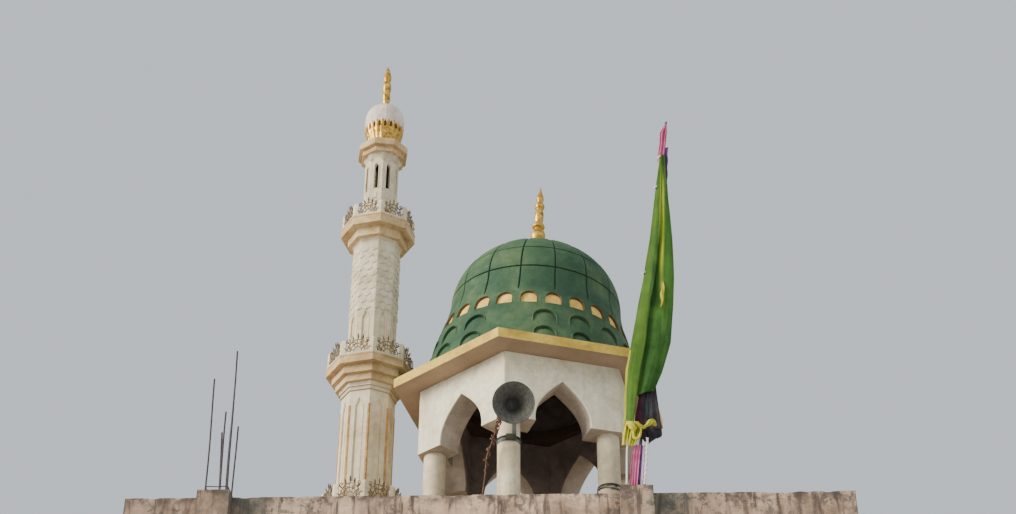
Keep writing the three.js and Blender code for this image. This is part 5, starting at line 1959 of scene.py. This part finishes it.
def flag_section(height):
    """Corners of the folded cloth at one height: the left band, the tuck behind it, the full right side and
    its return."""
    left, right = edges_at(FLAG_ROWS, height)
    wide = right - left
    split = left + wide * (0.44 - 0.10 * max(0.0, 1.0 - abs(height - 1.9) / 1.2))
    if height < FOLD_FOOT:
        split = min(split, left + 0.075 + 0.12 * (height - BAND_FOOT))
    depth = min(1.0, max(0.25, (FLAG_TOP - height) / 1.1))
    return [
        (left + 0.004, -0.050),
        (left + (split - left) * 0.5, -0.050 - 0.030 * depth),
        (split, -0.050 - 0.040 * depth),
        (split - 0.022 * depth, -0.058),
        (split + 0.004, -0.050 - 0.004 * depth),
        (split + (right - split) * 0.35, -0.050 - 0.026 * depth),
        (split + (right - split) * 0.7, -0.050 - 0.020 * depth),
        (right - 0.004, -0.046),
        (split + (right - split) * 0.6, -0.028),
        (split + 0.01, -0.024),
    ]


def flag_spot(u, t):
    """A point of the sheet: u runs across the cloth and t up it."""
    corners = 9
    edge_share = u * corners
    foot = BAND_FOOT if u < 2 / corners else FOLD_FOOT
    if 2 / corners <= u < 3 / corners:
        foot = BAND_FOOT + (FOLD_FOOT - BAND_FOOT) * (edge_share - 2)
    if u > 3 / corners:
        foot = FOLD_FOOT - 0.03 * math.sin((edge_share - 3) * 1.2)
    height = foot + (FLAG_TOP - foot) * t
    run = catmull([(x, y, 0.0) for x, y in flag_section(height)], 8)
    where = u * (len(run) - 1)
    low = min(int(where), len(run) - 2)
    point = run[low].lerp(run[low + 1], where - low)
    ripple = 0.006 * noise.noise(Vector((u * 9.0, height * 1.6, 0.0)))
    ripple += 0.003 * noise.noise(Vector((u * 30.0, height * 5.0, 2.0)))
    crease = 0.0
    if 3.2 < edge_share < 7:
        crease = 0.007 * math.exp(-((edge_share - 5.3 + (height - 1.9) * 1.6) / 0.35) ** 2)
    y = min(-0.0185, max(-0.0965, point.y + ripple + crease))
    x = point.x + 0.004 * noise.noise(Vector((u * 5.0, height * 3.0, 7.0)))
    return x, y, height


def make_flag(green):
    rows, columns = FLAG_GRID
    points = []
    for row in range(rows):
        for column in range(columns):
            points.append(at_pole(*flag_spot(column / (columns - 1), row / (rows - 1))))
    shape = Shape((points, grid_faces(rows, columns)))
    flag = make_piece("flag_cloth_furled", shape, [green], ["flag_cloth"], smooth=80)
    thicken(flag, FLAG_THICKNESS)
    return flag


def make_flag_hem(yellow):
    """Pale hem that shows along the lower left edge, and a crumple of the same lining on the right side."""
    path = []
    across = []
    for k in range(60):
        x, y, height = flag_spot(0.0, 0.01 + 0.25 * k / 59)
        path.append(at_pole(x + 0.004, y - 0.003, height))
        taper = min(1.0, (59 - k) / 22.0)
        waver = 1.0 + 0.3 * noise.noise(Vector((height * 6.0, 0.0, 0.0)))
        wide = 0.016 * (0.35 + 0.65 * taper) * waver
        across.append(pole_vector(wide, -wide * 0.25))
    shape = Shape(strip(path, across, 0.0025))
    crumple = pole_run(CRUMPLE, 8)
    shape.add(lobed_tube(crumple, swelling(len(crumple), 0.002, 0.014), 4, 0.3, 20, 0.35))
    return make_piece("flag_hem", shape, [yellow], smooth=60)


def make_flag_nubs(white):
    """Frayed pale knots where the flag's left edge was tied."""
    shape = Shape()
    for height in KNOT_HEIGHTS:
        left = edges_at(FLAG_ROWS, height)[0]
        run = pole_run([(left + x, y, height + rise) for x, y, rise in KNOT_SPOTS], 5)
        shape.add(lobed_tube(run, 0.009, 3, 0.25, 16, 0.4))
    return make_piece("flag_tie_knots", shape, [white], smooth=60)


def make_flag_ribbon(purple):
    """A narrow purple strip beside the top of the flag."""
    path = []
    for k in range(30):
        x = 0.050 - 0.026 * (k / 29) + 0.003 * math.sin(k * 0.7)
        path.append(at_pole(x, -0.030 - 0.003 * math.sin(k * 0.5), 3.46 + 0.60 * k / 29))
    shape = Shape(strip(path, [pole_vector(0.019, -0.006)] * len(path), 0.003))
    return make_piece("flag_ribbon", shape, [purple], smooth=60)


def pleated(name, rows, folds, material, stands_for=(), columns=90, lean=(0.0, 0.0), seed=0):
    """A hanging cloth gathered into upright pleats. Folds are their number, their depth and their middle."""
    pleats, depth, middle_y = folds
    low, high = rows[0][0], rows[-1][0]
    points = []
    for row in range(PLEAT_ROWS):
        for column in range(columns):
            u = column / (columns - 1)
            foot = low + (lean[0] + (lean[1] - lean[0]) * u)
            height = foot + (high - foot) * row / (PLEAT_ROWS - 1)
            left, right = edges_at(rows, height)
            phase = u * pleats * 2 * math.pi
            sway = noise.noise(Vector((u * 4.0, height * 3.0, seed * 5.0)))
            x = left + (right - left) * (u + 0.32 / pleats * math.sin(phase * 2 + sway) / 2)
            y = middle_y + depth * math.sin(phase + sway * 1.4) * (0.75 + 0.25 * math.cos(height * 9.0))
            points.append(at_pole(x, y, height))
    shape = Shape((points, grid_faces(PLEAT_ROWS, columns)))
    piece = make_piece(name, shape, [material], stands_for, smooth=80)
    thicken(piece, CLOTH_THICKNESS)
    return piece


def swelling(count, foot, swell):
    """Radii of a run that swells in the middle."""
    return [foot + swell * math.sin(math.pi * k / (count - 1)) for k in range(count)]


def lobed_tube(path, radius, lobes, depth, sides, twist):
    """A bundle of cloth: a swept section with folds that twist along it."""
    points, faces = tube(path, radius, sides)
    moved = []
    for index, point in enumerate(points):
        row, k = divmod(index, sides)
        fold = math.sin(lobes * 2 * math.pi * k / sides + twist * row)
        rough = noise.noise(point * 30.0) * 0.35
        moved.append(path[row] + (point - path[row]) * (1.0 + depth * (fold + rough)))
    return moved, faces


def make_sash(yellow):
    """Yellow cloth strip knotted round the pole: a loop, a twisted run to the right and its golden knot."""
    shape = Shape()
    for places, foot, swell, lobes, twist in SASH:
        run = pole_run(places, 8)
        shape.add(lobed_tube(run, swelling(len(run), foot, swell), lobes, 0.27, 24, twist))
    return make_piece("yellow_sash", shape, [yellow], smooth=60)


def make_peg(material):
    """The dark end of the stick that the dark cloth is rolled on."""
    shape = Shape(tube([at_pole(*place) for place in PEG], PEG_RADII, 14))
    return make_piece("cloth_stick_end", shape, [material], smooth=50)


def make_cloths(green, yellow, dark, pink, purple, lilac, white):
    flag = make_flag(green)
    trims = [make_flag_hem(yellow), make_flag_nubs(white), make_flag_ribbon(purple)]
    tail = pleated("yellow_tail", TAIL_ROWS, (5, 0.020, -0.088), yellow, seed=3)
    make_sash(yellow)
    banner = pleated("dark_banner_furled", BANNER_ROWS, (4, 0.012, -0.035), dark,
                     ["dark_banner"], lean=BANNER_LEAN, seed=1)
    make_peg(dark)
    wrap = pleated("pole_wrap_pink", PINK_ROWS, (3, 0.014, -0.052), pink, ["pole_wrap"],
                   columns=70, seed=2)
    inner = pleated("pole_wrap_purple", PURPLE_ROWS, (1.5, 0.009, -0.048), purple,
                    columns=40, seed=4)
    side = pleated("pole_wrap_lilac", LILAC_ROWS, (1.5, 0.009, -0.050), lilac,
                   columns=40, seed=5)
    tip = pleated("tip_cloth", TIP_ROWS, (2, 0.012, -0.034), pink, columns=50, seed=6)


def make_floor():
    spots = [(x, y, FLOOR_Z) for y in FLOOR_LINES for x in FLOOR_LINES]
    floor = Shape((spots, grid_faces(len(FLOOR_LINES), len(FLOOR_LINES))))
    make_piece("studio_floor", floor, [pale_floor()])


def make_all():
    make_camera()
    cable = sheath("cable_sheath")
    make_lead(cable, make_lead_bindings(cable))
    make_ropes(cloth("white_rope", 400.0, 0.1))
    make_world()
    for name, settings in SUNS.items():
        make_sun(name, *settings)
    make_floor()
    plaster = bare_plaster()
    paint = painted_plaster("painted_plaster")
    # Dark plaster for the kiosk's inner faces: painted shade
    inner_shade = plain_plaster("inner_shade_plaster")
    gold = gold_paint()
    metal = grey_metal()
    shade = niche_shade_paint()
    steel = rusty_steel("rusty_steel")
    black = sheath("black_tie")
    dress_block(plaster)
    make_worn_crown(plaster)
    make_grilles(steel)
    make_columns(paint)
    make_arches(painted_plaster("kiosk_lime"), inner_shade, plain_plaster("arch_tunnel_shade"))
    dress("kiosk_eave", yellow_paint(), PAINT_BEVEL)
    ochre = patchy_paint("niche_paint", 9.0, (40.0, 0.6, 0.85), (50.0, 0.35, 0.003))
    make_dome(green_paint(), groove_paint(), ochre, shade, inner_shade)
    make_dome_finial(gold)
    pearl = patchy_paint("pearl_paint", 6.0, (26.0, 0.4, 0.62), (30.0, 0.3, 0.003))
    make_minaret(paint, rusty_steel("openwork_iron"), gold, pearl, shade)
    make_horn(metal, rusty_steel("horn_inside_shade"))
    dress("horn_bracket", metal, BRACKET_BEVEL)
    dress("cable_conduit", metal)
    for name in LASHINGS:
        make_lashing(name, black)
    make_starter_bars(steel)
    make_pole(metal)
    make_cloths(
        cloth("green_cloth", 260.0, 0.03, 0.04, flag_lit_band),
        cloth("yellow_cloth", 300.0, 0.03, 0.05),
        cloth("dark_cloth", 240.0, 0.05, 0.0, banner_edge),
        cloth("pink_cloth", 300.0, 0.05, 0.1),
        cloth("purple_cloth", 300.0, 0.1),
        cloth("lilac_cloth", 300.0, 0.1),
        cloth("white_cloth", 300.0, 0.1),
    )


make_all()
